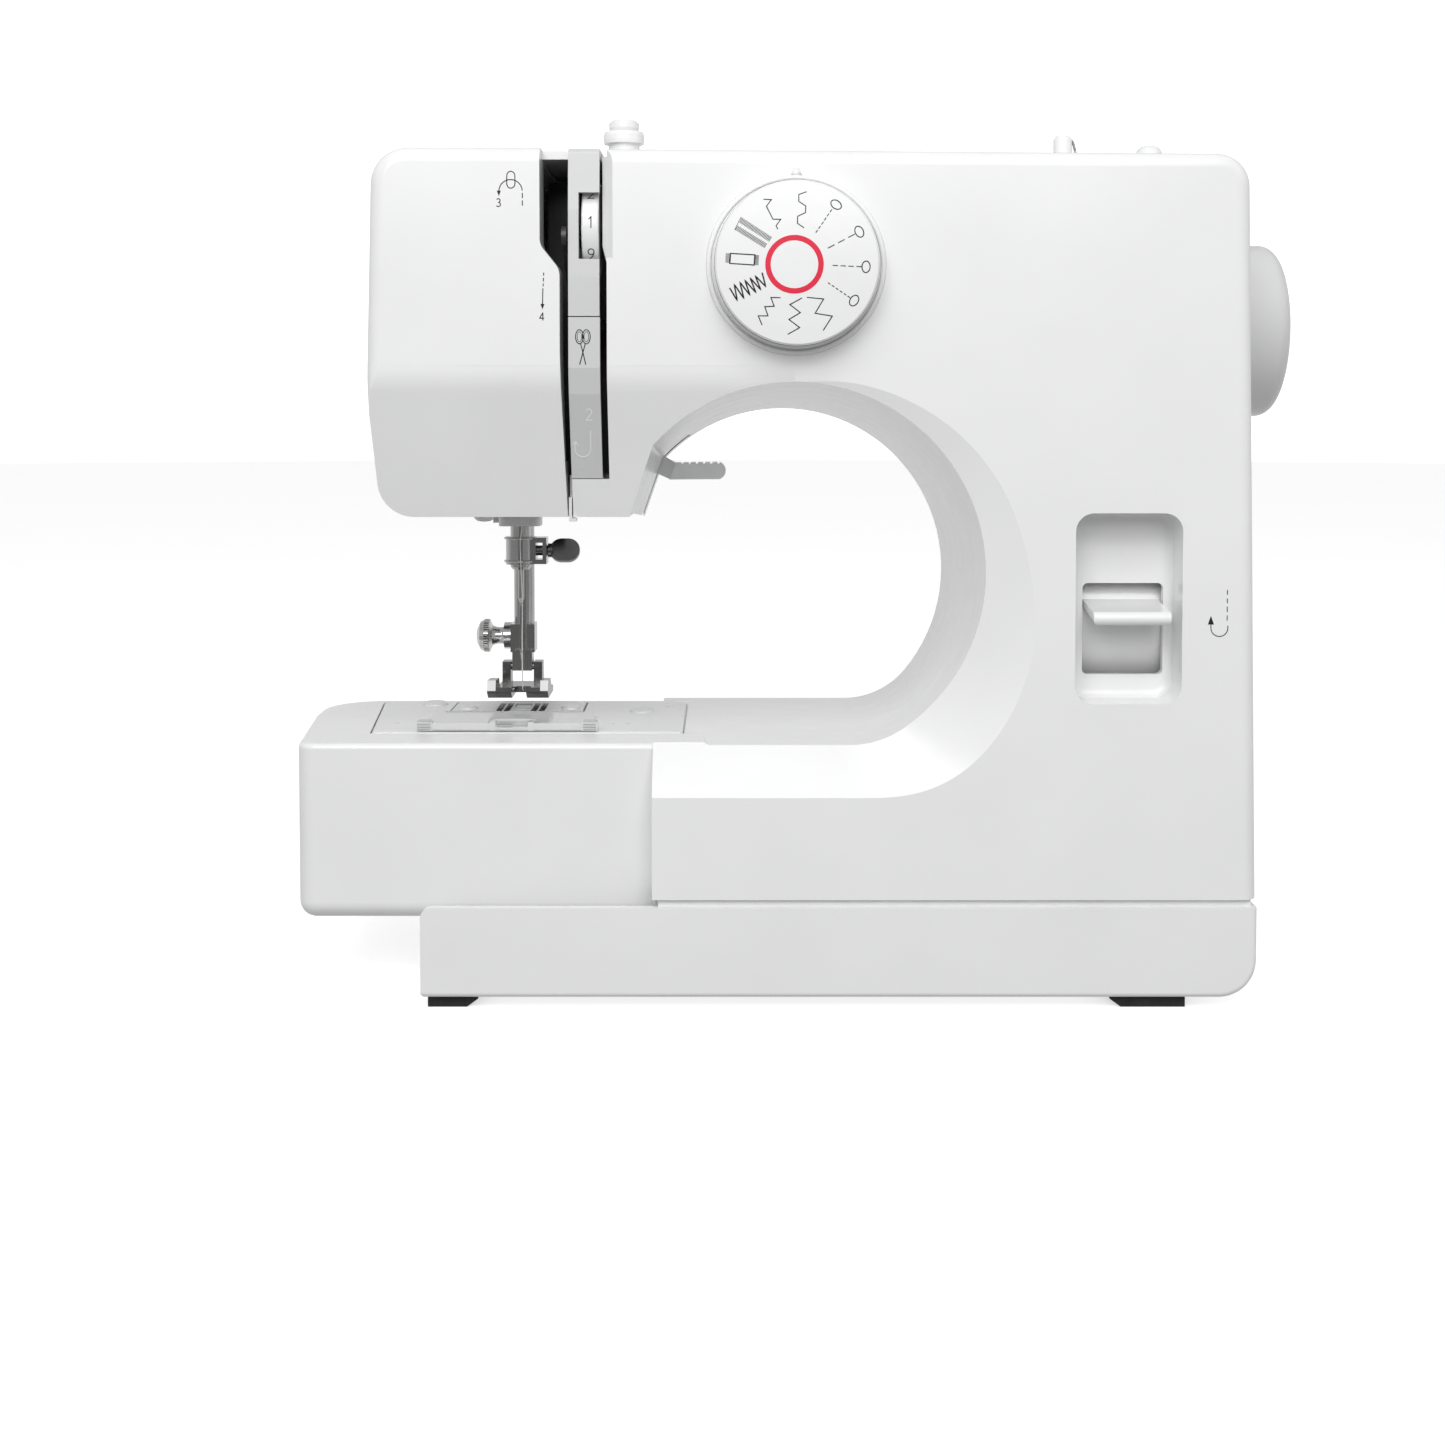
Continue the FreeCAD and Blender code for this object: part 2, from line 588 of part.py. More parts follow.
# ---- bed insert, needle plate, clear cover -------------------------------------------
ins = pad("XY_Plane", [[(-126.6, -20.5), (x_seam - 0.5, -20.5), (x_seam - 0.5, 38.2), (-130.0, 38.2, 4.0, 1), (-132.6, 34.0)]], z_bed, z_bed + 1.8)
ins = cut(ins, box(-109.4, -68.4, 13.6, 35.9, 60, 80), pad("XY_Plane", [[(-110.6, 9.6), (-111.4, -15.9), (-64.6, -15.9), (-66.8, 9.6)]], 60, 80))
ins = fillet(ins, 0.6, lambda e: abs(mid(e).z - 71.3) < 0.01 and (mid(e).y < -20 or mid(e).x < -125 or mid(e).x > -37.5))
ins = cut(ins, cyl("z", -116.2, 33.0, 60, 2.2, 20), cyl("z", -50.3, 19.6, 60, 2.2, 20))
node("bed_insert", ins)

slots = []
for xs in (-6.6, -4.2, 4.2, 6.6):
    slots.append(rrect(nx + xs - 0.95, nx + xs + 0.95, 17.6, 34.0, 0.5))
plate = pad("XY_Plane", [[(-109.2, 15.2), (-68.6, 15.2), (-68.6, 35.6), (-109.2, 35.6)]] + slots +
            [rrect(nx - 3.0, nx + 3.0, ny - 1.3, ny + 1.3, 1.2), rrect(nx - 2.7, nx + 2.7, 27.2, 33.6, 0.5)], z_bed, plate_z)
plate = fillet(plate, 2.0, lambda e: abs(mid(e).z - 70.5) < 0.01 and (abs(mid(e).x + 109.2) < 0.01 or abs(mid(e).x + 68.6) < 0.01))
plate = cut(plate, cyl("z", -104.6, 24.5, 60, 1.6, 20), cyl("z", -72.8, 24.5, 60, 1.6, 20))
node("needle_plate", plate)


def screw(x, y, ztop, rh, hh, rs, depth):
    s = turn([(0, 0 - depth), (rs, 0 - depth), (rs, 0), (rh, 0), (rh, hh * 0.5), (rh * 0.72, hh), (0, hh)], x, y, ztop, "z")
    return cut(s, box(q(x) - rh, q(x) + rh, q(y) - 0.35, q(y) + 0.35, ztop + q(hh * 0.45), ztop + q(hh + 1)))


node("bed_screws", group(screw(-104.6, 24.5, plate_z, 3.0, 0.9, 1.5, 5), screw(-72.8, 24.5, plate_z, 3.0, 0.9, 1.5, 5),
                         screw(-116.2, 33.0, z_bed + 1.8, 3.9, 1.0, 2.1, 1.79), screw(-50.3, 19.6, z_bed + 1.8, 3.9, 1.0, 2.1, 1.79)))

cov = pad("XY_Plane", [[(-112.4, 11.2), (-113.8, -18.4), (-61.6, -18.4), (-65.0, 11.2)]], bed_top + 0.3, bed_top + 1.3)
cov = fuse(cov, box(-113.6, -61.8, -18.4, -16.2, bed_top + 0.3, bed_top + 2.5))
for c0, c1 in ((-113.8, -109.4), (-92.6, -91.0), (-81.6, -80.0), (-66.0, -61.6)):
    cov = fuse(cov, box(c0, c1, -18.6, -14.8, bed_top + 0.3, bed_top + 2.9))
thumb = pad("XY_Plane", [rrect(-94.0, -80.5, -12.4, -3.0, 3.0)], bed_top + 0.9, 80)
node("bobbin_cover", cut(cov, thumb, pad("XZ_Plane", [rrect(-91.0, -81.6, bed_top + 1.3, 80, 0.8)], -30, -16.0)))

# ---- feed dog, bobbin, hook -------------------------------------------------------------
dog = []
for xs in (-6.6, -4.2, 4.2, 6.6):
    dog.append(pad("YZ_Plane", [[(19.9, 66.3), (31.7, 66.3), (31.7, plate_z - 0.6), (30.9, plate_z - 0.15), (30.0, plate_z - 0.6), (29.1, plate_z - 0.15), (28.2, plate_z - 0.6), (27.3, plate_z - 0.15),
                                 (26.4, plate_z - 0.6), (25.5, plate_z - 0.15), (24.6, plate_z - 0.6), (23.7, plate_z - 0.15), (22.8, plate_z - 0.6), (21.9, plate_z - 0.15), (21.0, plate_z - 0.6), (19.9, plate_z - 0.6)]],
                   nx + xs - 0.6, nx + xs + 0.6))
dog.append(box(nx - 2.2, nx + 2.2, 29.6, 31.4, 66.3, plate_z - 0.3))
node("feed_dog", fuse(box(nx - 7.2, nx + 7.2, 27.4, 31.7, 64.6, 66.6), *dog))

node("bobbin", turn([(3.1, 54.8), (10.2, 54.8), (10.2, 56.0), (4.6, 56.0), (4.6, 65.0), (10.2, 65.0), (10.2, 66.2), (3.1, 66.2)], nx, hook_y, 0, "z"))
bcase = turn([(0, 52.9), (15.6, 52.9), (15.6, 65.6), (14.0, 65.6), (14.0, 54.4), (2.7, 54.4), (2.7, 60.0), (0, 60.0)], nx, hook_y, 0, "z")
bcase = fuse(bcase, box(nx - 21.6, nx - 14.6, hook_y - 3, hook_y + 3, 63.8, 65.6), box(nx + 14.6, nx + 21.6, hook_y - 3, hook_y + 3, 63.8, 65.6))
bcase = fuse(bcase, box(nx - 25.4, nx - 20.9, hook_y - 3, hook_y + 3, 63.8, 69.6), box(nx + 20.9, nx + 25.0, hook_y - 3, hook_y + 3, 63.8, 69.6))
bcase = cut(bcase, box(-140, -60, -20, 40, 67.1, 80))
node("bobbin_case", bcase)
hk = turn([(0, 33.0), (3.0, 33.0), (3.0, 49.4), (11.0, 49.4), (16.0, 51.6), (18.4, 51.6), (18.4, 62.8), (16.4, 62.8), (16.4, 52.6), (0, 52.6)], nx, hook_y, 0, "z")
hk = cut(hk, box(nx, nx + 30, hook_y - 30, hook_y - 2, 54.5, 80))
node("rotary_hook", hk)


def teeth(axis, x, y, z, r, n, depth, a, b):
    """Toothed wheel between a and b along the axis through (x, y, z)."""
    n = int(n)
    pts = []
    for i in range(n):
        t0 = 2 * math.pi * i / n
        w = 2 * math.pi / n
        for f, rr in ((-0.30, -depth), (-0.16, 0.0), (0.16, 0.0), (0.30, -depth)):
            pts.append(((r + rr) * math.cos(t0 + f * w), (r + rr) * math.sin(t0 + f * w)))
    body = pad("XY_Plane", [pts], a, b)
    if axis == "x":
        place(body, x, y, z, (0, 1, 0), 90)
    else:
        place(body, x, y, z)
    return body


def bored(obj, axis, x, y, z, r):
    return cut(obj, cyl(axis, x, y, z, r, 400))


node("hook_gear", bored(teeth("z", nx, hook_y, 0, 10.1, 16, 1.6, 38, 46), "z", nx, hook_y, -100, 3.0))
node("hook_drive_gear", bored(teeth("x", 0, ny, low_z, 9.2, 16, 1.6, nx - 5, nx + 5), "x", -200, ny, low_z, sh_r))
node("lower_shaft", cyl("x", -100, ny, low_z, sh_r, 201))
node("lower_pulley", bored(fuse(teeth("x", 0, ny, low_z, 12.6, 24, 1.0, 91.6, 98.4), cyl("x", 90.4, ny, low_z, 14.2, 1.2), cyl("x", 98.4, ny, low_z, 14.2, 1.2)), "x", -200, ny, low_z, sh_r))

# ---- upper shaft group ---------------------------------------------------------------------
node("upper_shaft", cyl("x", -72.0, ny, sh_z, sh_r, 204.8))
node("upper_pulley", bored(fuse(teeth("x", 0, ny, sh_z, 12.6, 24, 1.0, 91.6, 98.4), cyl("x", 90.4, ny, sh_z, 14.2, 1.2), cyl("x", 98.4, ny, sh_z, 14.2, 1.2)), "x", -200, ny, sh_z, sh_r))
dpul = turn([(4.0, 104), (22.0, 104), (22.0, 105), (20.4, 106), (20.4, 110), (22.0, 111), (22.0, 112), (4.0, 112)], 0, ny, sh_z, "x")
node("drive_pulley", cut(dpul, *[cyl("x", 90, ny + 13.0 * math.cos(a * math.pi / 3), sh_z + 13.0 * math.sin(a * math.pi / 3), 4.2, 40) for a in range(6)]))
hw = turn([(4.0, 0), (9.0, 0), (9.0, 0.01), (wheel_r - 4.5, 0.01), (wheel_r - 0.8, 0.8), (wheel_r, 3.0), (wheel_r, wheel_w - 7.8, 4.6, 1), (wheel_r - 3.6, wheel_w - 3.26), (0, wheel_w - 3.26), (0, 12.5), (4.0, 12.5)], wheel_x, ny, sh_z, "x")
ball = doc.addObject("Part::Sphere", "dome")
ball.Radius = 80.0
place(ball, wheel_x + wheel_w - 80.0, ny, sh_z)
hw = fuse(hw, common(ball, cyl("x", wheel_x + wheel_w - 4.4, ny, sh_z, wheel_r - 3.66, 10)))
node("handwheel", cut(hw, turn([(9.0, -1), (wheel_r - 4.5, -1), (wheel_r - 4.5, 15), (9.0, 15)], wheel_x, ny, sh_z, "x")))
cr = fuse(cyl("x", -72.0, ny, sh_z, 11.0, 6.0), cyl("x", -72.0, ny, sh_z + crank, 4.6, 6.0), box(-72.0, -66.0, ny - 4.6, ny + 4.6, sh_z, sh_z + crank),
          common(cyl("x", -72.0, ny, sh_z, 15.5, 6.0), box(-72.0, -66.0, ny - 12, ny + 12, sh_z - 20, sh_z - 4)), cyl("x", -74.0, ny, sh_z + crank, 3.0, 3.0))
node("crank_disc", bored(cr, "x", -200, ny, sh_z, sh_r))


def belt(y1, z1, r1, y2, z2, r2, th, a, b):
    """Open belt round two pulleys, as a loop outline in the YZ plane."""
    y1, z1, y2, z2 = [q(i) for i in (y1, z1, y2, z2)]
    d = math.hypot(y2.v - y1.v, z2.v - z1.v)
    ang = math.atan2(z2.v - z1.v, y2.v - y1.v)
    al = math.acos((r1 - r2) / d)

    def loop(g):
        p = []
        for yc, zc, r, t in ((y1, z1, r1 + g, ang + al), (y1, z1, r1 + g, ang - al), (y2, z2, r2 + g, ang - al), (y2, z2, r2 + g, ang + al)):
            p.append((yc + r * math.cos(t), zc + r * math.sin(t)))
        m1 = (y1 + (r1 + g) * math.cos(ang + math.pi), z1 + (r1 + g) * math.sin(ang + math.pi))
        m2 = (y2 + (r2 + g) * math.cos(ang), z2 + (r2 + g) * math.sin(ang))
        return [p[0] + (r1 + g, 1), m1 + (r1 + g, 1), p[1], p[2] + (r2 + g, 1), m2 + (r2 + g, 1), p[3]]

    return pad("YZ_Plane", [loop(th), loop(0.0)], a, b)


node("timing_belt", belt(ny, sh_z, 13.0, ny, low_z, 13.0, 1.1, 92.0, 98.0))
mot_y, mot_z = P("motor_y", 0.0), P("motor_z", 66.0)
node("motor_belt", belt(ny, sh_z, 20.8, mot_y, mot_z, 5.4, 1.6, 106.2, 109.8))
mot = turn([(2.2, 46.0), (7.0, 46.0), (7.0, 48.5), (16.0, 48.5), (17.0, 49.5), (17.0, 88.5), (6.0, 88.5), (6.0, 90.5), (2.2, 90.5)], 0, mot_y, mot_z, "x")
node("motor", mot)
node("motor_pulley", turn([(0, 43.5), (2.15, 43.5), (2.15, 103.6), (6.6, 103.6), (6.6, 104.6), (5.1, 105.8), (5.1, 110.2), (6.6, 111.4), (6.6, 112.4), (0, 112.4)], 0, mot_y, mot_z, "x"))

# ---- main frame -----------------------------------------------------------------------------------
fr = fuse(box(-110, 101, 46, 50, 172, 212), box(66, 101, 46, 50, 50, 180), box(66, 101, 32, 50, 31, 58), box(-122, 101, 33.6, 38.0, 30, 50),
          box(74, 86, 14, 47, sh_z - 9, sh_z + 9), box(-63, -52, 14, 47, sh_z - 9, sh_z + 9), box(74, 86, 14, 34, low_z - 9, low_z + 9), box(-76, -66, 14, 34, low_z - 9, low_z + 8.4),
          box(68, 98, 34, 50, z_base_bot + wall, 34), box(54, 86, -13, 13, z_base_bot + wall, 47), box(56, 88, -13, 47, 31.0, 36.0), box(54, 86, -19.5, 19.5, 44, mot_z),
          box(nx - 14, nx + 14, 40.0, 47, 205, 212), box(-116, -100, 46, 50, 150, 178))
fr = cut(fr, cyl("x", -200, ny, sh_z, 7.0, 400), cyl("x", -200, ny, low_z, 7.0, 400), cyl("x", 40, mot_y, mot_z, 17.0, 70), cyl("x", 89.6, ny, low_z, 15.2, 20), box(89.6, 110, 8.8, 39.2, low_z, 60))
lift_x, lift_z = P("lifter_x", -113.5), P("lifter_z", 156.0)
fr = fuse(fr, cyl("y", nx, 27.8, 217.0, 3.0, 20), box(nx - 6, nx + 6, 40.0, 47, 210, 223), box(-104, -72, 46, 50, 208, 223))
fr = fuse(fr, box(nx - 6.5, nx + 6.5, 29.6, 47, 172.5, 180), box(nx - 12, nx + 12, 40.2, 47, 172.5, 180))
fr = cut(fr, cyl("z", nx, pby, 150, bar_r + run_fit, 56), cyl("y", lift_x, 30, lift_z, 3.0, 40))
wx, wy = P("winder_x", 76.2), P("winder_y", 8.0)
fr = fuse(fr, cyl("y", lift_x, 39.0, lift_z, 3.0, 11.0), cyl("y", lift_x, 38.8, lift_z, 4.6, 1.5), cyl("x", 70.0, rev_y, rev_z, 2.0, 31), box(68.6, 71.0, rev_y - 3, 46.5, rev_z - 3, rev_z + 3),
          box(wx - 16, wx + 20, wy - 11.2, wy - 9.3, 222.0, 229.4), box(wx - 16, wx + 20, wy + 9.3, wy + 11.2, 222.0, 229.4), box(wx - 16, wx - 13, wy - 11.2, wy + 11.2, 208.2, 229.4), box(wx - 16, wx - 13, wy + 5, 46.2, 208.2, 218),
          box(16, 24, 43.0, 50.0, 210, 221))
fr = fuse(cut(fr, cyl("z", 20, 41.0, 150, 6.0, 100)), cyl("z", 20, 41.0, 213.0, 6.0, 8.0))
fr = cut(fr, cyl("z", 20, 41.0, 150, 2.5, 100))
node("main_frame", fr)


def ring(axis, x, y, z, ro, ri, length):
    return cut(cyl(axis, x, y, z, ro, length), cyl(axis, x, y, z, ri, length))


node("shaft_bushes", group(ring("x", 73.5, ny, sh_z, 7.0, sh_r + run_fit, 13), ring("x", -63.5, ny, sh_z, 7.0, sh_r + run_fit, 12),
                           ring("x", 73.5, ny, low_z, 7.0, sh_r + run_fit, 13), ring("x", -76.5, ny, low_z, 7.0, sh_r + run_fit, 11)))

# ---- needle bar group -------------------------------------------------------------------------------
gate = fuse(box(nx - 9, nx + 6.2, ny + 3.6, ny + 5.0, 129.2, 222), box(nx - 6, nx + 6, ny - 6.2, ny + 5.0, 188, 193),
            pad("XY_Plane", [rrect(nx - 6.4, nx + 6.4, ny - 5.4, ny + 5.0, 2.0)], 128.6, 131.4))
gate = cut(gate, cyl("z", nx, ny, 120, bar_r + run_fit, 80), cyl("y", nx, 0, 217.0, 3.06, 60))
node("needle_gate", gate)
nb = turn([(0, 115.0), (2.6, 115.0), (bar_r, 115.8), (bar_r, 223.0), (2.6, 224.0), (0, 224.0)], nx, ny, 0, "z")
node("needle_bar", cut(nb, cyl("z", nx, ny, 110, 1.05, 20)))
rod = fuse(box(-80.4, -77.2, ny - 3.4, ny + 3.2, 166, sh_z + crank), cyl("x", -80.4, ny, 166, 4.4, 3.2), cyl("x", -80.4, ny, sh_z + crank, 5.2, 3.2),
           box(nx - 6, -80.3, ny - 5.8, ny + 2.0, 161.5, 170.5))
rod = cut(rod, cyl("z", nx, ny, 100, bar_r, 150), cyl("x", -82, ny, sh_z + crank, 3.1, 10))
node("connecting_rod", rod)
cl = fuse(cyl("z", nx, ny, 116.6, 4.6, 8.6), box(nx + 3.0, nx + 8.2, ny - 3.4, ny + 3.4, 116.8, 125.0))
ws = turn([(0, -5.0), (1.57, -5.0), (1.57, 0), (2.2, 0.2), (2.2, 1.2), (1.3, 1.9), (0, 1.9)], nx + 8.3, ny, 120.8, "x")
ws = cut(fuse(ws, place(pad("XZ_Plane", [rrect(nx + 9.0, nx + 18.3, -3.7, 3.7, 3.65)], -0.8, 0.8), 0, ny, 120.8, (1, 0, 0), -25)), box(nx, nx + 3.4, ny - 5, ny + 5, 110, 130))
node("needle_clamp_screw", ws)
ndl = turn([(0, 86.0), (0.42, 89.0), (0.42, 104.5), (0.98, 106.0), (0.98, 122.0), (0, 122.0)], nx, ny, 0, "z")
node("needle", cut(ndl, box(nx - 1, nx + 1, ny - 0.5, ny - 0.24, 90.0, 103.5), cyl("y", nx, 10, 90.6, 0.2, 30)))


def wire_ring(x, y, z, r, tr):
    o = doc.addObject("Part::Torus", "loop")
    o.Radius1, o.Radius2 = q(r).v, q(tr).v
    bind(o, "Radius1", r)
    return place(o, x, y, z)


gd = fuse(cut(wire_ring(nx, ny, 124.7, bar_r + 1.6, 0.4), box(nx - 8, nx + 8, ny, ny + 8, 120, 130)), cut(wire_ring(nx, ny, 117.6, bar_r + 1.6, 0.4), box(nx - 8, nx + 8, ny, ny + 8, 110, 120)))
node("needle_clamp", cut(fuse(cl, gd), cyl("z", nx, ny, 100, bar_r, 150), cyl("x", nx, ny, 120.8, 1.62, 30), box(nx + 4.9, nx + 7.0, ny - 5, ny + 5, 118.2, 123.4)))

# ---- take-up lever and its dark channel ----------------------------------------------------------------
tk_y, tk_z = P("takeup_y", -14.0), P("takeup_z", 190.0)
lev = pad("YZ_Plane", [[(-16.0, 186.6), (-44.4, 207.4), (-48.6, 208.4, 2.8, -1), (-47.6, 213.7), (-44.0, 212.6), (-12.0, 194.2), (-8.6, 190.0)]], -68.75, -67.45)
node("take_up_lever", cut(fuse(lev, cyl("x", -68.75, tk_y, tk_z, 5.0, 1.3)), cyl("x", -80, tk_y, tk_z, 2.55, 30), cyl("x", -80, -46.9, 211.0, 1.1, 30)))
chn = fuse(box(-76.4, -57.6, -4.0, -2.0, 145.6, 230.8), box(-76.4, -67.3, -4.0, -2.0, 137.5, 146.0), cyl("x", -69.5, tk_y, tk_z, 2.5, 7.0), box(-66.6, -64.6, -20, -2.5, 184, 196),
           box(-66.9, -65.3, -46.4, -3.0, 196.0, 203.4), box(-66.9, -59.0, -46.2, -3.0, 186.6, 189.4), box(-66.9, -65.3, -45.0, -3.0, 223.5, 230.8), box(-66.9, -65.3, -42.0, -3.0, 160, 164))
chn = fuse(chn, box(-69.8, -69.5, tk_y - 3.0, tk_y + 3.0, tk_z - 3.0, tk_z + 3.0), box(-76.4, -57.6, -2.5, 8.0, 226.5, 230.8), box(-65.6, -57.6, -2.5, 13.99, 192.6, 196.6))
chn = fuse(chn, cyl("x", -66.6, ten_y, ten_z, 1.55, 7.9), box(-66.6, -65.0, ten_y - 3.0, -3.0, ten_z - 3.0, ten_z + 3.0))
node("take_up_channel", chn)

# ---- presser group ----------------------------------------------------------------------------------------
pb = turn([(0, 88.0), (bar_r, 88.0), (bar_r, 203.0), (2.4, 204.0), (0, 204.0)], nx, pby, 0, "z")
node("presser_bar", pb)
pg = fuse(box(nx - 6, nx + 6, pby - 3.9, pby + 6.0, 161.4, 170.6), box(nx - 4, nx + 4, pby + 5.5, 46.0 - 0.4, 161.4, 166.4))
node("presser_guide_bracket", cut(pg, cyl("z", nx, pby, 100, bar_r, 150)))
hd = fuse(box(nx - 4.0, nx + 3.6, pby - 4.4, pby + 3.8, 88.4, 97.2), box(nx - 3.1, nx + 3.1, pby - 7.4, pby - 1.6, 83.0, 89.3))
hd = cut(hd, cyl("z", nx, pby, 88.0, bar_r, 40), cyl("x", nx - 20, pby, 93.2, 1.7, 20), pad("YZ_Plane", [[(pby - 6.5, 82.0), (pby - 2.7, 82.0), (pby - 2.7, 85.2), (pby - 4.6, 87.0), (pby - 6.5, 85.2)]], nx - 10, nx + 10))
node("presser_foot_holder", hd)
ts = turn([(0, -11.0), (2.4, -10.8), (4.4, -9.8), (5.2, -8.4), (5.2, -7.0), (3.2, -6.0, 5.0, -1), (2.8, -2.3), (4.2, -2.2), (4.2, -0.05), (1.65, -0.05), (1.65, 0.8), (0, 0.8)], nx - 4.0, pby, 93.2, "x")
node("presser_thumb_screw", ts)
ft = [pad("YZ_Plane", [[(12.0, sole_z + 2.2), (14.8, sole_z), (31.0, sole_z), (36.9, sole_z + 0.75), (37.6, sole_z + 1.2), (37.6, sole_z + 1.9), (17.0, sole_z + 1.9), (13.2, sole_z + 3.4)]], nx - 9.3, nx + 9.3)]
foot = cut(ft[0], box(nx - 1.9, nx + 2.6, 5, ny + 2.2, 60, 90), box(nx - 3.0, nx + 3.0, ny - 1.4, ny + 1.4, 60, 90))
foot = cut(foot, box(nx - 12, nx - 7.6, 30.0, 45, 60, 90), box(nx + 7.6, nx + 12, 30.0, 45, 60, 90))
ear = [(26.0, sole_z + 1.2), (32.4, sole_z + 1.2), (31.4, sole_z + 9.6), (26.3, sole_z + 9.6)]
foot = fuse(foot, pad("YZ_Plane", [ear], nx - 6.2, nx - 3.6), pad("YZ_Plane", [ear], nx + 3.6, nx + 6.2), cyl("x", nx - 5, pby - 4.6, sole_z + 8.0, 1.2, 10))
foot = fuse(foot, pad("YZ_Plane", [[(12.2, sole_z + 2.2), (13.2, sole_z + 5.6), (21.5, sole_z + 5.2), (24.5, sole_z + 1.5)]], nx - 9.3, nx - 6.7), pad("YZ_Plane", [[(12.2, sole_z + 2.2), (13.2, sole_z + 5.6), (21.5, sole_z + 5.2), (24.5, sole_z + 1.5)]], nx + 6.9, nx + 9.3))
node("presser_foot", foot)
lf = fuse(pad("XZ_Plane", [[(-116.2, 152.5, 5.5, -1), (-116.2, 159.5), (-108, 161.0), (-80, 161.0), (-70, 157.0), (-46, 150.6), (-40.4, 147.6), (-26.5, 147.8, 2.8, -1), (-26.5, 142.4), (-42.0, 142.2), (-50, 145.8), (-72, 151.6), (-84, 153.0), (-110, 152.5)]], 40.8, 45.2),
          pad("XZ_Plane", [[(-42.4, 142.3), (-40.4, 147.6), (-26.5, 147.8, 2.8, -1), (-26.5, 142.4)]], 38.6, 47.4))
lf = cut(lf, *[box(-38.6 + 2.3 * i, -37.9 + 2.3 * i, 36, 50, 147.2, 150) for i in range(6)])
node("presser_lifter", cut(lf, cyl("y", lift_x, 0, lift_z, 3.05, 100)))

# ---- thread panels, dials, levers on the front ------------------------------------------------------------------
px0, px1 = P("panel_left", -67.0), P("panel_right", -58.6)
up = pad("YZ_Plane", [[(-49.2, 189.5), (-49.3, 200.0), (-48.9, 218.0), (-47.7, 233.2, 2.0, -1), (-46.0, 234.6), (-20.0, 235.2), (-20.0, 232.4), (-45.2, 232.0), (-46.6, 216.0), (-46.9, 189.5)]], px0, px1)
up = cut(up, box(-64.2, -50, -60, -30, 204.8, 222.7))
node("tension_panel", up)
lowp = pad("YZ_Plane", [[(-49.3, 189.2), (-46.9, 189.2), (-46.9, 174.5), (-45.5, 168.0), (-36.9, 145.4), (-39.2, 145.4), (-47.9, 168.5), (-49.3, 175.5)]], px0, px1 + 0.1)
node("thread_guide_panel", lowp)
td = turn([(1.6, 0), (ten_r - 0.4, 0), (ten_r, 0.4), (ten_r, 4.2), (ten_r - 0.4, 4.6), (1.6, 4.6)], -63.5, ten_y, ten_z, "x")
node("tension_dial", cut(td, *[cyl("x", -64.5, ten_y + (ten_r + 0.35) * math.cos(a * math.pi / 12), ten_z + (ten_r + 0.35) * math.sin(a * math.pi / 12), 0.6, 1.4) for a in range(24)]))
node("face_thread_guide", fuse(box(-68.0, -67.2, -33.0, -24.0, 133.6, 146.0), box(-68.0, -66.0, -36.8, -33.0, 133.3, 134.2), box(-68.0, -67.2, -36.8, -33.0, 133.3, 140.0)))
sd = turn([(0, 0), (dial_r - 0.3, 0), (dial_r + 0.2, 0.5), (dial_r + 0.2, 2.0), (dial_r - 0.4, 2.4), (dial_r - 0.4, 7.5), (dial_r - 0.9, 8.15), (17.0, 8.4), (11.0, 8.62), (5.0, 8.75), (0, 8.75)], dial_x, -49.75, dial_z, "-y")
sd = cut(fuse(sd, cyl("y", dial_x, -50.2, dial_z, 4.2, 14.2), cyl("y", dial_x, -40.0, dial_z, 15.0, 4.0)), *[cyl("y", dial_x + 19.0 * math.cos(a * math.pi / 6), -41, dial_z + 19.0 * math.sin(a * math.pi / 6), 6.0, 8) for a in range(12)])
node("stitch_dial", sd)
shield = cut(pad("YZ_Plane", [[(23.6 * math.cos(math.radians(180 - a)) + rev_y, 23.6 * math.sin(math.radians(180 - a)) + rev_z) + ((23.6, -1) if a < 45 else ()) for a in (-44, 0, 45)] + [(rev_y, rev_z)]], 73.2, 98.4),
             cyl("x", 60, rev_y, rev_z, 21.8, 60))
padl = pad("YZ_Plane", [[(-31.8, 111.4), (-47.6, 109.4, 1.9, 1), (-48.4, 105.8), (-31.8, 108.6)]], 75.3, 96.3)
padl = fillet(padl, 1.4, lambda e: mid(e).y < -40 and e.Length < 20 and e.Length > 8)
arms = fuse(box(75.2, 77.6, -32.6, rev_y, rev_z - 3.4, rev_z + 3.4), box(94.0, 96.4, -32.6, rev_y, rev_z - 3.4, rev_z + 3.4), cyl("x", 75.2, rev_y, rev_z, 4.6, 2.4), cyl("x", 94.0, rev_y, rev_z, 4.6, 2.4))
node("reverse_lever", cut(fuse(shield, padl, arms), cyl("x", 60, rev_y, rev_z, 2.05, 60)))

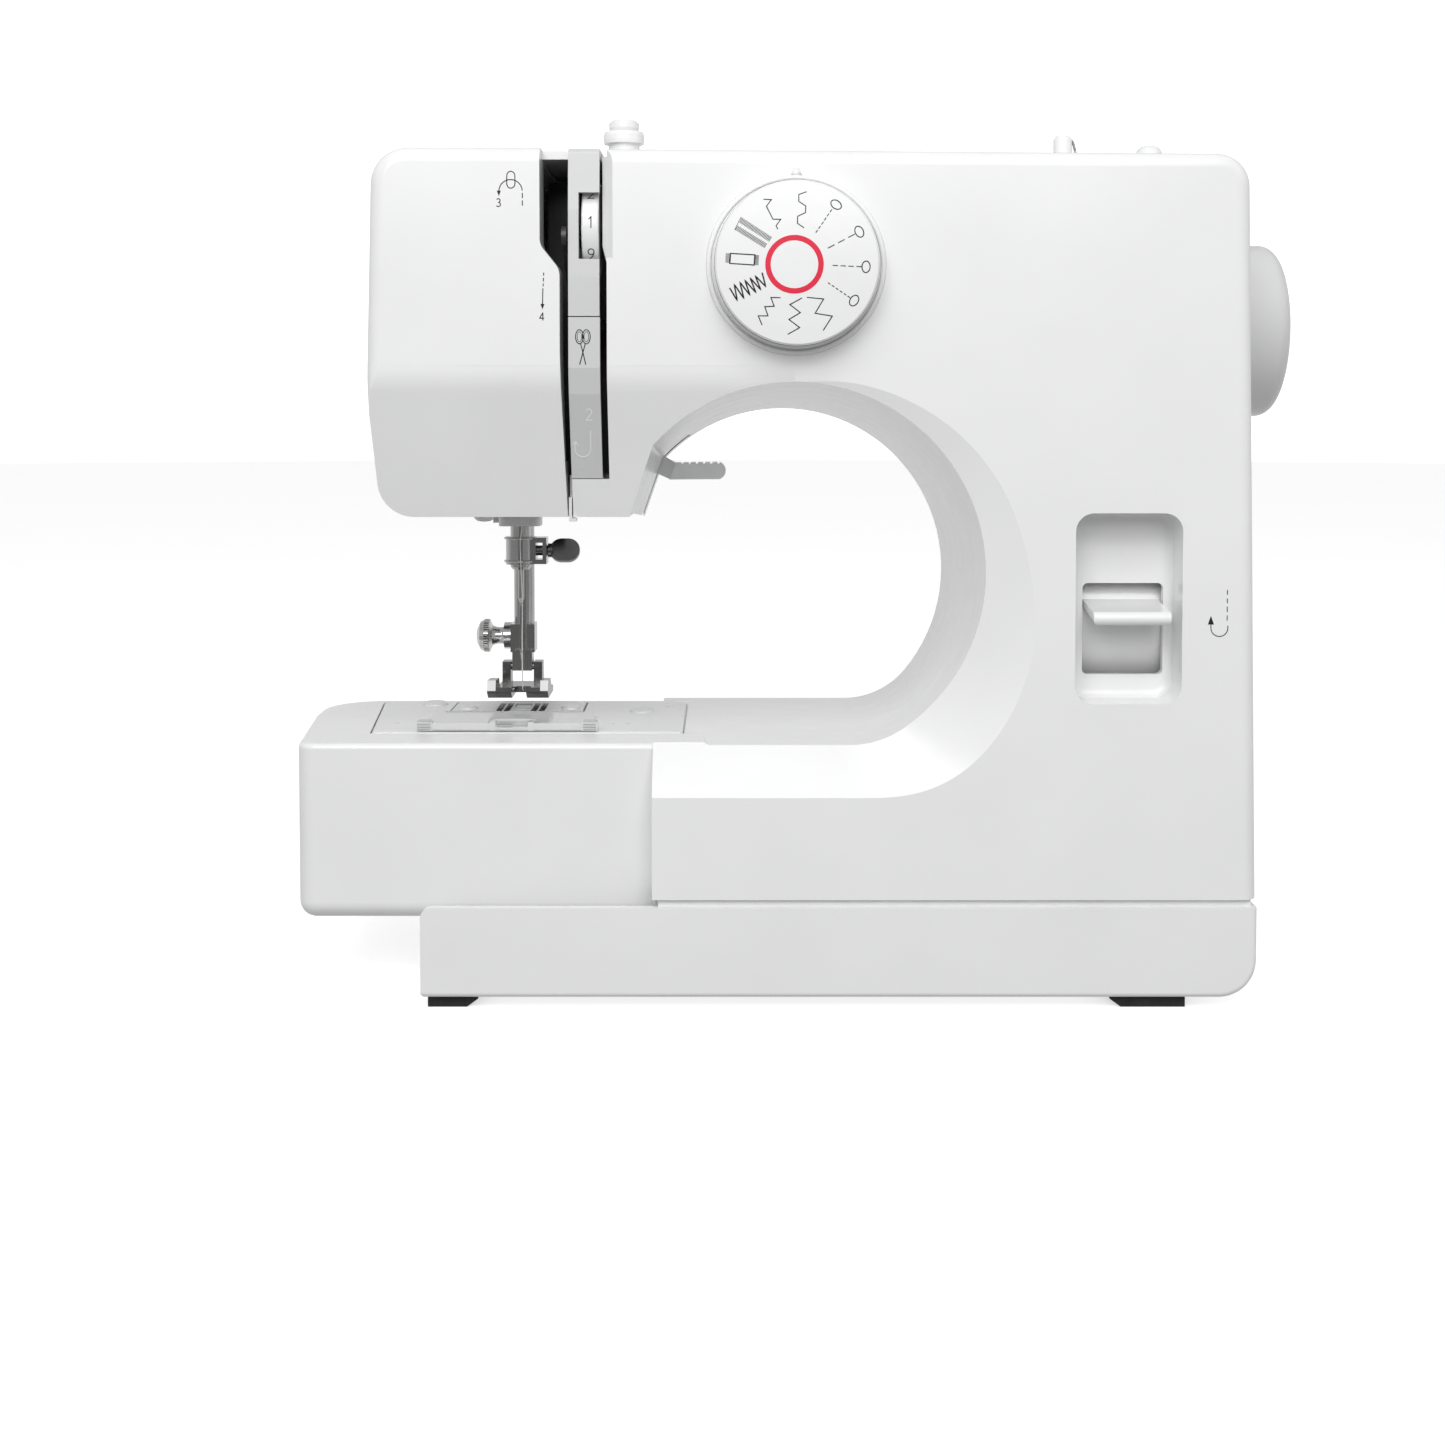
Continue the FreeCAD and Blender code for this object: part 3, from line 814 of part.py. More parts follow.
# ---- items on top ----------------------------------------------------------------------------------------------------
node("winding_guide", turn([(0, 228.0), (1.95, 228.0), (1.95, 234.9), (2.0, 243.2), (3.9, 243.2), (4.25, 244.0), (4.25, 245.4), (3.4, 246.2), (0, 246.2)], -53.4, -19.5, 0, "z"))
node("winding_guide_disc", turn([(2.06, 234.65), (4.4, 234.65), (4.4, 239.4), (5.6, 239.6), (5.75, 240.6), (5.75, 242.0), (5.4, 242.9), (2.06, 242.9)], -53.4, -19.5, 0, "z"))
node("winder_carriage", cut(fuse(box(wx - 8, wx + 9, wy - 9, wy + 9, 224.6, 227.6), cyl("z", wx, wy, 218, 5.5, 8)), cyl("z", wx, wy, 200, 2.55, 50)))
sp = turn([(0, 216.0), (2.5, 216.0), (2.5, 228.2), (3.1, 228.2), (3.1, 236.0), (2.75, 236.2), (2.75, 245.0), (2.0, 246.0), (0, 246.0)], wx, wy, 0, "z")
sp = cut(sp, box(wx - 0.4, wx + 5, wy - 0.5, wy + 0.5, 236.4, 250))
node("winder_spindle", sp)
clip = doc.addObject("Part::Feature", "clip_wire")
cw = [Vector(1.5, 0, 236.45), Vector(1.5, 0, 240.0), Vector(1.7, 0, 243.6), Vector(2.5, 0, 244.6), Vector(3.4, 0, 243.0), Vector(4.1, 0, 240.4)]
csp = Part.BSplineCurve()
csp.interpolate(cw)
prof = Part.Wire([Part.makeCircle(0.4, cw[0], csp.tangent(csp.FirstParameter)[0])])
clip.Shape = Part.Wire([csp.toShape()]).makePipeShell([prof], True, True)
place(clip, wx, wy, 0)
node("winder_clip", clip)
node("spool_pin", turn([(0, 176.0), (3.6, 176.0), (3.6, 178.0), (2.4, 178.2), (2.4, 234.4), (4.0, 234.8), (4.0, 236.6), (3.2, 237.6), (0, 237.6)], 20, 41.0, 0, "z"))
node("head_lamp", turn([(0, 130.9), (2.0, 131.2, 3.6, 1), (3.6, 133.4), (3.6, 138.0), (0, 138.0)], -96.6, 3.0, 0, "z"))

# ---- sockets and switch on the right side -------------------------------------------------------------------------------
node("dc_inlet", fuse(cut(cyl("x", 104.0, 38, 48, 6.8, 13.8), cyl("x", 108.0, 38, 48, 2.8, 20)), cyl("x", 106, 38, 48, 1.05, 10.5)))
node("pedal_jack", cut(fuse(cyl("x", 104.0, 38, 66, 5.6, 13.4), cyl("x", 104, 38, 66, 3.1, 16.6)), cyl("x", 106.6, 38, 66, 1.8, 20)))
node("power_switch", cut(pad("XZ_Plane", [[(113.9, 66.5), (113.9, 77.5), (115.4, 81.8), (118.9, 81.6), (121.9, 81.0), (120.2, 72.0), (121.9, 63.0), (118.9, 62.4), (115.4, 62.2)]], 5.4, 18.6), cyl("y", 116.2, 0, 72.0, 1.55, 40)))
scr = []
for x, z in ((-108, 222), (-30, 222), (104, 222), (104, 45), (-25, 45), (104, 130)):
    scr.append(cut(fuse(cyl("y", x, 57.2, z, 3.4, 1.2), cyl("y", x, 56.1, z, 1.7, 1.3)), box(x - 2.4, x + 2.4, 57.8, 61, z - 0.4, z + 0.4), box(x - 0.4, x + 0.4, 57.8, 61, z - 2.4, z + 2.4)))
node("cover_screws", group(*scr))

doc.recompute()

# ---- check and write ---------------------------------------------------------------------------------------------------------
bad = [o.Name + ":" + o.Label for o in doc.Objects if "Invalid" in o.State or "Error" in o.State]
if bad:
    print("objects in error:", bad[:40])
os.makedirs("parts", exist_ok=True)
for name, o in nodes.items():
    s = o.Shape
    if s.isNull() or not s.isValid():
        print("BAD SHAPE", name, s.isNull())
        continue
    b = s.BoundBox
    if len(s.Solids) > 1 and name not in ("rubber_feet", "bed_screws", "cover_screws", "shaft_bushes"):
        for k in s.Solids:
            print("   piece of", name, k.BoundBox)
    print("%-24s solids %2d vol %9.1f  X %7.1f %7.1f  Y %6.1f %6.1f  Z %6.1f %6.1f" % (name, len(s.Solids), s.Volume, b.XMin, b.XMax, b.YMin, b.YMax, b.ZMin, b.ZMax))
    s.exportStep("parts/%s.step" % name)
print("nodes", len(nodes))
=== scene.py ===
import math

import bmesh
import bpy
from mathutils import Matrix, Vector
from mathutils.bvhtree import BVHTree


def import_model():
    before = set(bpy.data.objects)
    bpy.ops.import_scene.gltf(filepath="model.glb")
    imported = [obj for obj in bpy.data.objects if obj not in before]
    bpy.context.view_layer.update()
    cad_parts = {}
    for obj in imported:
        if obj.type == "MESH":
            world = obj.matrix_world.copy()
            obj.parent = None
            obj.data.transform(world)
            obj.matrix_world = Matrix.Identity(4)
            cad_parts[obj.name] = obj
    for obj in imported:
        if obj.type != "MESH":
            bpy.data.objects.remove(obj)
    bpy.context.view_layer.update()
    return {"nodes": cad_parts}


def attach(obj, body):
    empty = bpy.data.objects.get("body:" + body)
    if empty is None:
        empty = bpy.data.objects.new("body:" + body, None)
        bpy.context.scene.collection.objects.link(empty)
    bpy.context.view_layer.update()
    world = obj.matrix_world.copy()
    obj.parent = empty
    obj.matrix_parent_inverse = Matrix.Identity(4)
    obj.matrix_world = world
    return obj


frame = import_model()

N = frame["nodes"]
MM = 0.001
scene = bpy.context.scene


# ---------------------------------------------------------------- materials
class Mat:
    """A node material on object coordinates, in metres."""

    def __init__(self, name):
        self.m = bpy.data.materials.new(name)
        self.m.use_nodes = True
        self.t = self.m.node_tree
        self.b = self.t.nodes["Principled BSDF"]
        self.co = self.t.nodes.new("ShaderNodeTexCoord").outputs["Object"]

    def node(self, kind, **kw):
        n = self.t.nodes.new(kind)
        for k, v in kw.items():
            setattr(n, k, v)
        return n

    def link(self, a, b):
        self.t.links.new(a, b)

    def set(self, **kw):
        for k, v in kw.items():
            s = self.b.inputs[k.replace("_", " ")]
            s.default_value = tuple(v) + (1.0,) if isinstance(v, (tuple, list)) else v
        return self

    def noise(self, scale, detail=3.0, rough=0.5, vec=None, stretch=None):
        n = self.node("ShaderNodeTexNoise")
        n.inputs["Scale"].default_value = scale
        n.inputs["Detail"].default_value = detail
        n.inputs["Roughness"].default_value = rough
        src = vec or self.co
        if stretch:
            mp = self.node("ShaderNodeMapping")
            mp.inputs["Scale"].default_value = stretch
            self.link(src, mp.inputs["Vector"])
            src = mp.outputs["Vector"]
        self.link(src, n.inputs["Vector"])
        return n.outputs["Fac"]

    def span(self, fac, lo, hi, f0=0.25, f1=0.75):
        n = self.node("ShaderNodeMapRange")
        n.inputs["From Min"].default_value = f0
        n.inputs["From Max"].default_value = f1
        n.inputs["To Min"].default_value = lo
        n.inputs["To Max"].default_value = hi
        self.link(fac, n.inputs["Value"])
        return n.outputs["Result"]

    def math(self, op, a, b=None, c=None):
        n = self.node("ShaderNodeMath", operation=op)
        for i, v in enumerate((a, b, c)):
            if v is None:
                continue
            if isinstance(v, (int, float)):
                n.inputs[i].default_value = v
            else:
                self.link(v, n.inputs[i])
        return n.outputs[0]

    def mix(self, fac, a, b):
        n = self.node("ShaderNodeMix", data_type="RGBA")
        ia, ib = n.inputs[6], n.inputs[7]
        if isinstance(fac, (int, float)):
            n.inputs[0].default_value = fac
        else:
            self.link(fac, n.inputs[0])
        for s, v in ((ia, a), (ib, b)):
            if isinstance(v, (tuple, list)):
                s.default_value = tuple(v) + (1.0,)
            else:
                self.link(v, s)
        return n.outputs[2]

    def xyz(self):
        n = self.node("ShaderNodeSeparateXYZ")
        self.link(self.co, n.inputs[0])
        return n.outputs

    def bump(self, height, strength, distance=0.0002, prev=None):
        n = self.node("ShaderNodeBump")
        n.inputs["Strength"].default_value = strength
        n.inputs["Distance"].default_value = distance
        self.link(height, n.inputs["Height"])
        if prev is not None:
            self.link(prev, n.inputs["Normal"])
        return n.outputs["Normal"]

    def color(self, s):
        self.link(s, self.b.inputs["Base Color"])

    def rough(self, s):
        self.link(s, self.b.inputs["Roughness"])

    def normal(self, s):
        self.link(s, self.b.inputs["Normal"])


def tone(c, k):
    return tuple(min(1.0, v * k) for v in c)


def plastic(name, col, rough, var=0.02, peel=0.03, peel_scale=420.0, fine=0.02, spec=0.5):
    """Moulded plastic: faint cloudiness, orange peel, and a mould grain too fine to see singly."""
    m = Mat(name)
    m.set(Specular_IOR_Level=spec)
    m.color(m.mix(m.span(m.noise(28.0, 4.0), 0.0, 1.0), tone(col, 1 - var), tone(col, 1 + var)))
    m.rough(m.span(m.noise(90.0, 5.0, 0.6), rough * 0.86, rough * 1.16))
    b = m.bump(m.noise(peel_scale, 2.0), peel, 0.00012)
    m.normal(m.bump(m.noise(4200.0, 2.0), fine, 0.00004, b))
    return m


def metal(name, col, rough, stretch=(1, 1, 1), line=0.06, var=0.06):
    """Plated or ground metal, with drawn lines along its longest axis and faint tarnish."""
    m = Mat(name)
    m.set(Metallic=1.0)
    m.color(m.mix(m.span(m.noise(160.0, 5.0), 0.0, 1.0), tone(col, 1 - var), tone(col, 1 + var)))
    streak = m.noise(900.0, 4.0, 0.6, stretch=stretch)
    m.rough(m.span(streak, rough * 0.7, rough * 1.35))
    m.normal(m.bump(streak, line, 0.00006))
    return m


white = plastic("white_abs", (0.855, 0.857, 0.860), 0.20)
white_low = plastic("white_abs_base", (0.845, 0.847, 0.850), 0.22)
bed_white = plastic("bed_abs", (0.80, 0.802, 0.806), 0.30, peel=0.008, fine=0.006)
panel_grey = plastic("panel_grey_abs", (0.610, 0.613, 0.618), 0.30, peel=0.05)
wheel_grey = plastic("handwheel_grey_abs", (0.690, 0.692, 0.698), 0.14)
lifter_grey = plastic("lifter_grey_abs", (0.80, 0.803, 0.806), 0.32)
dark = plastic("dark_abs", (0.026, 0.026, 0.028), 0.36, var=0.18, peel=0.06)
case_grey = plastic("bobbin_case_grey", (0.66, 0.662, 0.666), 0.34, var=0.04)
ink_grey = plastic("print_grey", (0.014, 0.014, 0.016), 0.55, var=0.15, peel=0.02, spec=0.25)
ink_soft = plastic("print_soft", (0.018, 0.018, 0.020), 0.55, var=0.12, peel=0.02, spec=0.25)
ink_light = plastic("print_light", (0.80, 0.80, 0.81), 0.35, var=0.05, peel=0.02)
ink_red = plastic("print_red", (0.74, 0.020, 0.060), 0.40, var=0.06, peel=0.02, spec=0.3)
lens = plastic("lamp_lens", (0.86, 0.86, 0.84), 0.30)
lens.set(Transmission_Weight=0.35, IOR=1.49)
thread_mat = plastic("thread_white", (0.86, 0.86, 0.85), 0.75, var=0.06, peel=0.3, peel_scale=2400.0)
nylon = plastic("gear_nylon", (0.72, 0.70, 0.64), 0.42)
motor_paint = plastic("motor_paint", (0.07, 0.07, 0.075), 0.36, var=0.1)

chrome = metal("chrome_plate", (0.50, 0.492, 0.488), 0.12, stretch=(1, 1, 0.03))
chrome_x = metal("chrome_turned", (0.60, 0.592, 0.588), 0.12, stretch=(0.04, 1, 1))
steel = metal("plate_steel", (0.70, 0.70, 0.70), 0.30, stretch=(0.03, 1, 1), line=0.10)
satin = metal("satin_plate", (0.80, 0.80, 0.80), 0.36, stretch=(0.03, 1, 1), line=0.08, var=0.03)
satin.set(Metallic=0.3)
# darker copies of the chrome: their low colour is painted shade for the dark reflections on the foot and the clamp wing
foot_chrome_painted_shade = metal("foot_chrome_painted_shade", (0.22, 0.217, 0.215), 0.20, stretch=(0.03, 1, 1))
wing_chrome_painted_shade = metal("wing_chrome_painted_shade", (0.20, 0.196, 0.194), 0.16, stretch=(0.04, 1, 1))
shaft_steel = metal("shaft_steel", (0.58, 0.58, 0.59), 0.22, stretch=(0.03, 1, 1))
alloy = metal("cast_alloy", (0.60, 0.61, 0.62), 0.42, line=0.25)
bronze = metal("bush_bronze", (0.62, 0.42, 0.20), 0.35)

# clear cover: thin acrylic with moulding ripple; its ribs and edge lines further down get a dark grey that is painted
# shade
clear = Mat("clear_acrylic")
clear.set(Transmission_Weight=0.34, IOR=1.47)
clear.color(clear.mix(clear.span(clear.noise(60.0, 3.0), 0.0, 1.0), (0.85, 0.853, 0.857), (0.88, 0.883, 0.886)))
clear.rough(clear.span(clear.noise(140.0, 4.0), 0.05, 0.14))
clear.normal(clear.bump(clear.noise(260.0, 2.0), 0.04, 0.0001))

# dark grey for the clear ribs and lines: painted shade standing in for the dark look of the clear plastic
clear_rib_shade = plastic("acrylic_rib_painted_shade", (0.36, 0.365, 0.37), 0.14, var=0.08)

# rubber: dull, dusty, with a sandy grain
rubber = Mat("black_rubber")
rubber.color(rubber.mix(rubber.span(rubber.noise(300.0, 6.0, 0.7), 0.0, 1.0), (0.010, 0.010, 0.011), (0.030, 0.030, 0.031)))
rubber.rough(rubber.span(rubber.noise(500.0, 3.0), 0.62, 0.85))
rubber.normal(rubber.bump(rubber.noise(1600.0, 3.0), 0.35, 0.0002))

# ribbed belt
belt = Mat("belt_rubber")
z = belt.xyz()[2]
ribs = belt.math("SINE", belt.math("MULTIPLY", z, 2200.0))
belt.color(belt.mix(belt.span(belt.noise(420.0, 4.0), 0.0, 1.0), (0.012, 0.012, 0.012), (0.035, 0.035, 0.035)))
belt.rough(belt.span(belt.noise(300.0, 3.0), 0.6, 0.8))
belt.normal(belt.bump(ribs, 0.4, 0.0003))


def knurled(name, y0, z0, x_lo, x_hi, count, col=(0.72, 0.715, 0.71)):
    """Chrome with straight knurls round an X axis, only between two places along it, with painted shade in the knurl
    valleys.
    """
    m = Mat(name)
    m.set(Metallic=1.0)
    x, y, z = m.xyz()
    ang = m.math("ARCTAN2", m.math("SUBTRACT", z, z0), m.math("SUBTRACT", y, y0))
    wave = m.math("SINE", m.math("MULTIPLY", ang, float(count)))
    gate = m.math("MULTIPLY", m.math("GREATER_THAN", x, x_lo), m.math("LESS_THAN", x, x_hi))
    h = m.math("MULTIPLY", m.span(wave, 0.0, 1.0, -0.4, 0.4), gate)
    # knurl valleys painted darker than the ridges: painted shade in the grooves
    m.color(m.mix(m.math("MULTIPLY", m.span(wave, 1.0, 0.0, -0.4, 0.3), gate), col, tone(col, 0.22)))
    m.rough(m.span(m.noise(600.0, 3.0), 0.10, 0.22))
    m.normal(m.bump(h, 0.7, 0.0003))
    return m


thumb = knurled("thumb_screw_chrome", 0.0334, 0.0932, -0.1005, -0.0988, 44)


# ---------------------------------------------------------------- mesh help
def obj(name, verts, faces, mat, body, smooth=False):
    me = bpy.data.meshes.new(name)
    me.from_pydata([tuple(v) for v in verts], [], faces)
    me.update()
    o = bpy.data.objects.new(name, me)
    scene.collection.objects.link(o)
    me.materials.append(mat.m)
    if smooth:
        me.polygons.foreach_set("use_smooth", [True] * len(me.polygons))
    bm = bmesh.new()
    bm.from_mesh(me)
    bmesh.ops.recalc_face_normals(bm, faces=bm.faces)
    bm.to_mesh(me)
    bm.free()
    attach(o, body)
    return o


trees = {}


def tree(node):
    if node not in trees:
        me = N[node].data
        trees[node] = BVHTree.FromPolygons([v.co for v in me.vertices], [tuple(p.vertices) for p in me.polygons])
    return trees[node]


def on_front(node, lift=0.03):
    """Maps (x, z) in mm to the node's surface as seen from the front."""
    t = tree(node)

    def f(u, v, up):
        hit = t.ray_cast(Vector((u * MM, -0.3, v * MM)), Vector((0, 1, 0)))
        p = hit[0] if hit[0] is not None else Vector((u * MM, -0.0585, v * MM))
        n = hit[1] if hit[0] is not None else Vector((0, -1, 0))
        if n.y > 0:
            n = -n
        return p + n * ((lift if up else -0.02) * MM)

    return f


def on_drum(xc, yc, zc, r, lift=0.03):
    """Maps (x mm, angle deg) to a drum about the X axis, angle 0 facing front and growing upwards."""

    def f(u, v, up):
        a = math.radians(v)
        k = (r + (lift if up else -0.02)) * MM
        return Vector(((xc + u) * MM, yc * MM - k * math.cos(a), zc * MM + k * math.sin(a)))

    return f


def resample(pts, step):
    out = [pts[0]]
    for a, b in zip(pts, pts[1:]):
        d = math.hypot(b[0] - a[0], b[1] - a[1])
        n = max(1, int(math.ceil(d / step)))
        for i in range(1, n + 1):
            out.append((a[0] + (b[0] - a[0]) * i / n, a[1] + (b[1] - a[1]) * i / n))
    return out


BOLD = 2.05


class Ink:
    """Collects printed strokes and fills for one piece."""

    def __init__(self, name, place, mat, body, vscale=1.0):
        self.name, self.place, self.mat, self.body = name, place, mat, body
        self.v, self.f, self.vs = [], [], vscale

    def add(self, u, v, up):
        self.v.append(self.place(u, v / self.vs if self.vs != 1.0 else v, up))
        return len(self.v) - 1

    def line(self, pts, w, step=0.6, closed=False):
        w = w * BOLD
        pts = list(pts)
        if closed:
            pts = pts + [pts[0]]
        pts = resample(pts, step)
        n = len(pts)
        rows = []
        for i, p in enumerate(pts):
            if closed:
                a, b = pts[(i - 1) % (n - 1)], pts[(i + 1) % (n - 1)]
            else:
                a, b = pts[max(i - 1, 0)], pts[min(i + 1, n - 1)]
            d1 = (p[0] - a[0], p[1] - a[1])
            d2 = (b[0] - p[0], b[1] - p[1])
            l1, l2 = math.hypot(*d1) or 1.0, math.hypot(*d2) or 1.0
            if math.hypot(*d1) < 1e-9:
                d1, l1 = d2, l2
            if math.hypot(*d2) < 1e-9:
                d2, l2 = d1, l1
            n1, n2 = (-d1[1] / l1, d1[0] / l1), (-d2[1] / l2, d2[0] / l2)
            m = (n1[0] + n2[0], n1[1] + n2[1])
            k = m[0] * m[0] + m[1] * m[1]
            s = w / max(k, 0.55)
            rows.append([self.add(p[0] + m[0] * s, p[1] + m[1] * s, True), self.add(p[0] - m[0] * s, p[1] - m[1] * s, True),
                         self.add(p[0] - m[0] * s, p[1] - m[1] * s, False), self.add(p[0] + m[0] * s, p[1] + m[1] * s, False)])
        for a, b in zip(rows, rows[1:]):
            self.f += [(a[0], a[1], b[1], b[0]), (a[1], a[2], b[2], b[1]), (a[3], a[0], b[0], b[3]), (a[2], a[3], b[3], b[2])]
        if not closed:
            self.f += [tuple(rows[0]), tuple(reversed(rows[-1]))]
        else:
            a, b = rows[-1], rows[0]
            self.f += [(a[0], a[1], b[1], b[0]), (a[1], a[2], b[2], b[1]), (a[3], a[0], b[0], b[3]), (a[2], a[3], b[3], b[2])]

    def dashes(self, a, b, w, count, fill=0.6):
        for i in range(count):
            t0 = i / (count - 1 + fill)
            t1 = (i + fill) / (count - 1 + fill)
            self.line([(a[0] + (b[0] - a[0]) * t, a[1] + (b[1] - a[1]) * t) for t in (t0, t1)], w)

    def solid(self, pts):
        top = [self.add(u, v, True) for u, v in pts]
        low = [self.add(u, v, False) for u, v in pts]
        n = len(pts)
        self.f += [tuple(top), tuple(reversed(low))] + [(top[i], top[(i + 1) % n], low[(i + 1) % n], low[i]) for i in range(n)]

    def ring(self, c, ro, ri, n=96):
        o, i2, ol, il = [], [], [], []
        for k in range(n):
            a = 2 * math.pi * k / n
            cs, sn = math.cos(a), math.sin(a)
            o.append(self.add(c[0] + ro * cs, c[1] + ro * sn, True))
            i2.append(self.add(c[0] + ri * cs, c[1] + ri * sn, True))
            ol.append(self.add(c[0] + ro * cs, c[1] + ro * sn, False))
            il.append(self.add(c[0] + ri * cs, c[1] + ri * sn, False))
        for k in range(n):
            j = (k + 1) % n
            self.f += [(o[k], o[j], i2[j], i2[k]), (o[k], ol[k], ol[j], o[j]), (i2[k], i2[j], il[j], il[k]), (ol[k], il[k], il[j], ol[j])]

    def digit(self, ch, c, h, w):
        for s in DIGITS[ch]:
            self.line([(c[0] + (x - 0.3) * h, c[1] + (y - 0.5) * h) for x, y in s], w, step=h * 0.12)

    def make(self):
        return obj(self.name, self.v, self.f, self.mat, self.body)


def arc(cx, cy, rx, ry, a0, a1, n=16):
    return [(cx + rx * math.cos(math.radians(a0 + (a1 - a0) * i / n)), cy + ry * math.sin(math.radians(a0 + (a1 - a0) * i / n))) for i in range(n + 1)]


DIGITS = {
    "1": [[(0.14, 0.78), (0.34, 1.0), (0.34, 0.0)]],
    "2": [arc(0.3, 0.74, 0.26, 0.26, 165, -35, 10) + [(0.04, 0.0), (0.58, 0.0)]],
    "3": [arc(0.29, 0.76, 0.23, 0.24, 150, -80, 10) + arc(0.29, 0.26, 0.27, 0.26, 80, -150, 12)],
    "4": [[(0.42, 0.0), (0.42, 1.0), (0.02, 0.30), (0.60, 0.30)]],
    "5": [[(0.54, 1.0), (0.14, 1.0), (0.10, 0.55)] + arc(0.29, 0.31, 0.28, 0.31, 130, -150, 12)],
    "6": [arc(0.30, 0.28, 0.26, 0.28, 0, 360, 16), [(0.05, 0.33), (0.16, 0.72), (0.44, 1.0)]],
    "7": [[(0.04, 1.0), (0.56, 1.0), (0.22, 0.0)]],
    "8": [arc(0.30, 0.75, 0.22, 0.25, 0, 360, 14), arc(0.30, 0.26, 0.27, 0.26, 0, 360, 16)],
    "9": [arc(0.30, 0.72, 0.26, 0.28, 0, 360, 16), [(0.55, 0.67), (0.44, 0.28), (0.16, 0.0)]],
}

# ---------------------------------------------------------------- prints on the face cover
L = 0.13
p = Ink("print_face", on_front("face_cover"), ink_soft, "machine")
p.line(arc(-82.23, 226.9, 1.1, 1.25, 0, 180, 10) + arc(-82.23, 224.9, 1.1, 1.25, 180, 360, 10), L, closed=True)
p.line(arc(-82.31, 222.75, 3.15, 3.2, 178, 5, 18), L)
p.line([(-79.16, 222.4), (-79.16, 221.0)], L)
p.line([(-79.16, 220.4), (-79.16, 219.0)], L)
p.solid([(-86.0, 223.0), (-84.95, 223.0), (-85.47, 221.5)])
p.digit("3", (-85.6, 219.8), 2.1, L)
p.line([(-73.53, 201.1), (-73.54, 200.3)], L)
p.line([(-73.60, 199.7), (-73.64, 198.7)], L)
p.line([(-73.66, 198.2), (-73.70, 197.4)], L)
p.line([(-73.76, 196.9), (-73.88, 192.4)], L)
p.solid([(-74.42, 192.7), (-73.36, 192.7), (-73.89, 191.2)])
p.digit("4", (-74.05, 189.3), 2.1, L)
p.make()

# scissors, number and hook arrow on the grey strip
p = Ink("print_strip_dark", on_front("thread_guide_panel"), ink_grey, "machine")
p.line(arc(-63.98, 183.9, 1.05, 1.9, 0, 360, 28)[:-1], 0.12, closed=True)
p.line(arc(-62.12, 183.9, 1.05, 1.9, 0, 360, 28)[:-1], 0.12, closed=True)
p.line(arc(-63.98, 183.9, 0.62, 1.35, 0, 360, 24)[:-1], 0.07, closed=True)
p.line(arc(-62.12, 183.9, 0.62, 1.35, 0, 360, 24)[:-1], 0.07, closed=True)
p.line([(-63.7, 182.05), (-63.2, 180.3), (-62.3, 176.4)], 0.13)
p.line([(-62.4, 182.05), (-62.9, 180.3), (-63.95, 176.4)], 0.13)
p.make()
p = Ink("print_strip_light", on_front("thread_guide_panel", 0.05), ink_light, "machine")
p.digit("2", (-61.75, 162.95), 3.0, 0.14)
p.line([(-61.44, 158.5), (-61.55, 153.6)] + arc(-63.70, 153.6, 2.12, 2.2, 0, -180, 16)[1:] + [(-65.72, 155.2)], 0.14)
p.line([(-66.35, 154.7), (-65.6, 155.6), (-65.0, 154.5)], 0.14)
p.make()

# reverse arrow on the front
p = Ink("print_reverse", on_front("front_cover"), ink_soft, "machine")
for a, b in ((115.5, 114.2), (113.2, 111.9), (111.0, 109.5), (108.6, 107.2)):
    p.line([(111.30, a), (111.33, b)], 0.12)
p.line([(111.55, 105.8)] + arc(109.25, 105.2, 2.3, 2.35, 0, -180, 20) + [(106.94, 106.3)], 0.12)
p.solid([(106.1, 106.1), (107.77, 106.1), (106.92, 108.5)])
p.make()

# ---------------------------------------------------------------- stitch dial print
DX, DZ = -5.65, 203.1


def D(pts):
    return [(DX + x, DZ + y) for x, y in pts]


p = Ink("print_dial", on_front("stitch_dial"), ink_grey, "stitch_selector")
W = 0.125
p.line(D([(2.36, 18.6), (0.32, 17.84), (0.32, 16.04), (2.17, 14.84), (2.11, 13.1), (-0.01, 12.09), (-0.01, 10.26), (1.71, 9.08)]), W)
for a, b, c, n in (((4.81, 7.81), (9.06, 13.93), (10.17, 15.2), 6), ((8.01, 3.73), (15.14, 7.48), (16.31, 8.1), 3),
                   ((9.27, -0.79), (16.95, -1.10), (18.12, -1.13), 4), ((8.04, -5.32), (13.94, -9.28), (15.0, -10.02), 6)):
    p.dashes((DX + a[0], DZ + a[1]), (DX + b[0], DZ + b[1]), W, n, 0.66)
    t = math.atan2(b[1] - a[1], b[0] - a[0])
    ov = []
    for k in range(28):
        g = 2 * math.pi * k / 28
        s, l = 1.08 * math.cos(g), 1.52 * math.sin(g)
        ov.append((c[0] + s * math.cos(t) - l * math.sin(t), c[1] + s * math.sin(t) + l * math.cos(t)))
    p.line(D(ov), W * 1.1, closed=True)
p.line(D([(2.49, -9.18), (6.93, -9.61), (4.69, -13.37), (9.24, -14.11), (6.85, -17.91)]), W * 1.1)
p.line(D([(1.21, -9.35), (-1.99, -11.09), (0.81, -13.21), (-2.25, -14.99), (0.61, -17.14), (-2.55, -18.92)]), W * 1.1)
p.line(D([(-4.45, -9.28), (-7.01, -9.21), (-6.13, -11.53), (-8.63, -11.63), (-7.78, -14.05), (-10.34, -14.05), (-9.33, -16.47)]), W * 1.1)
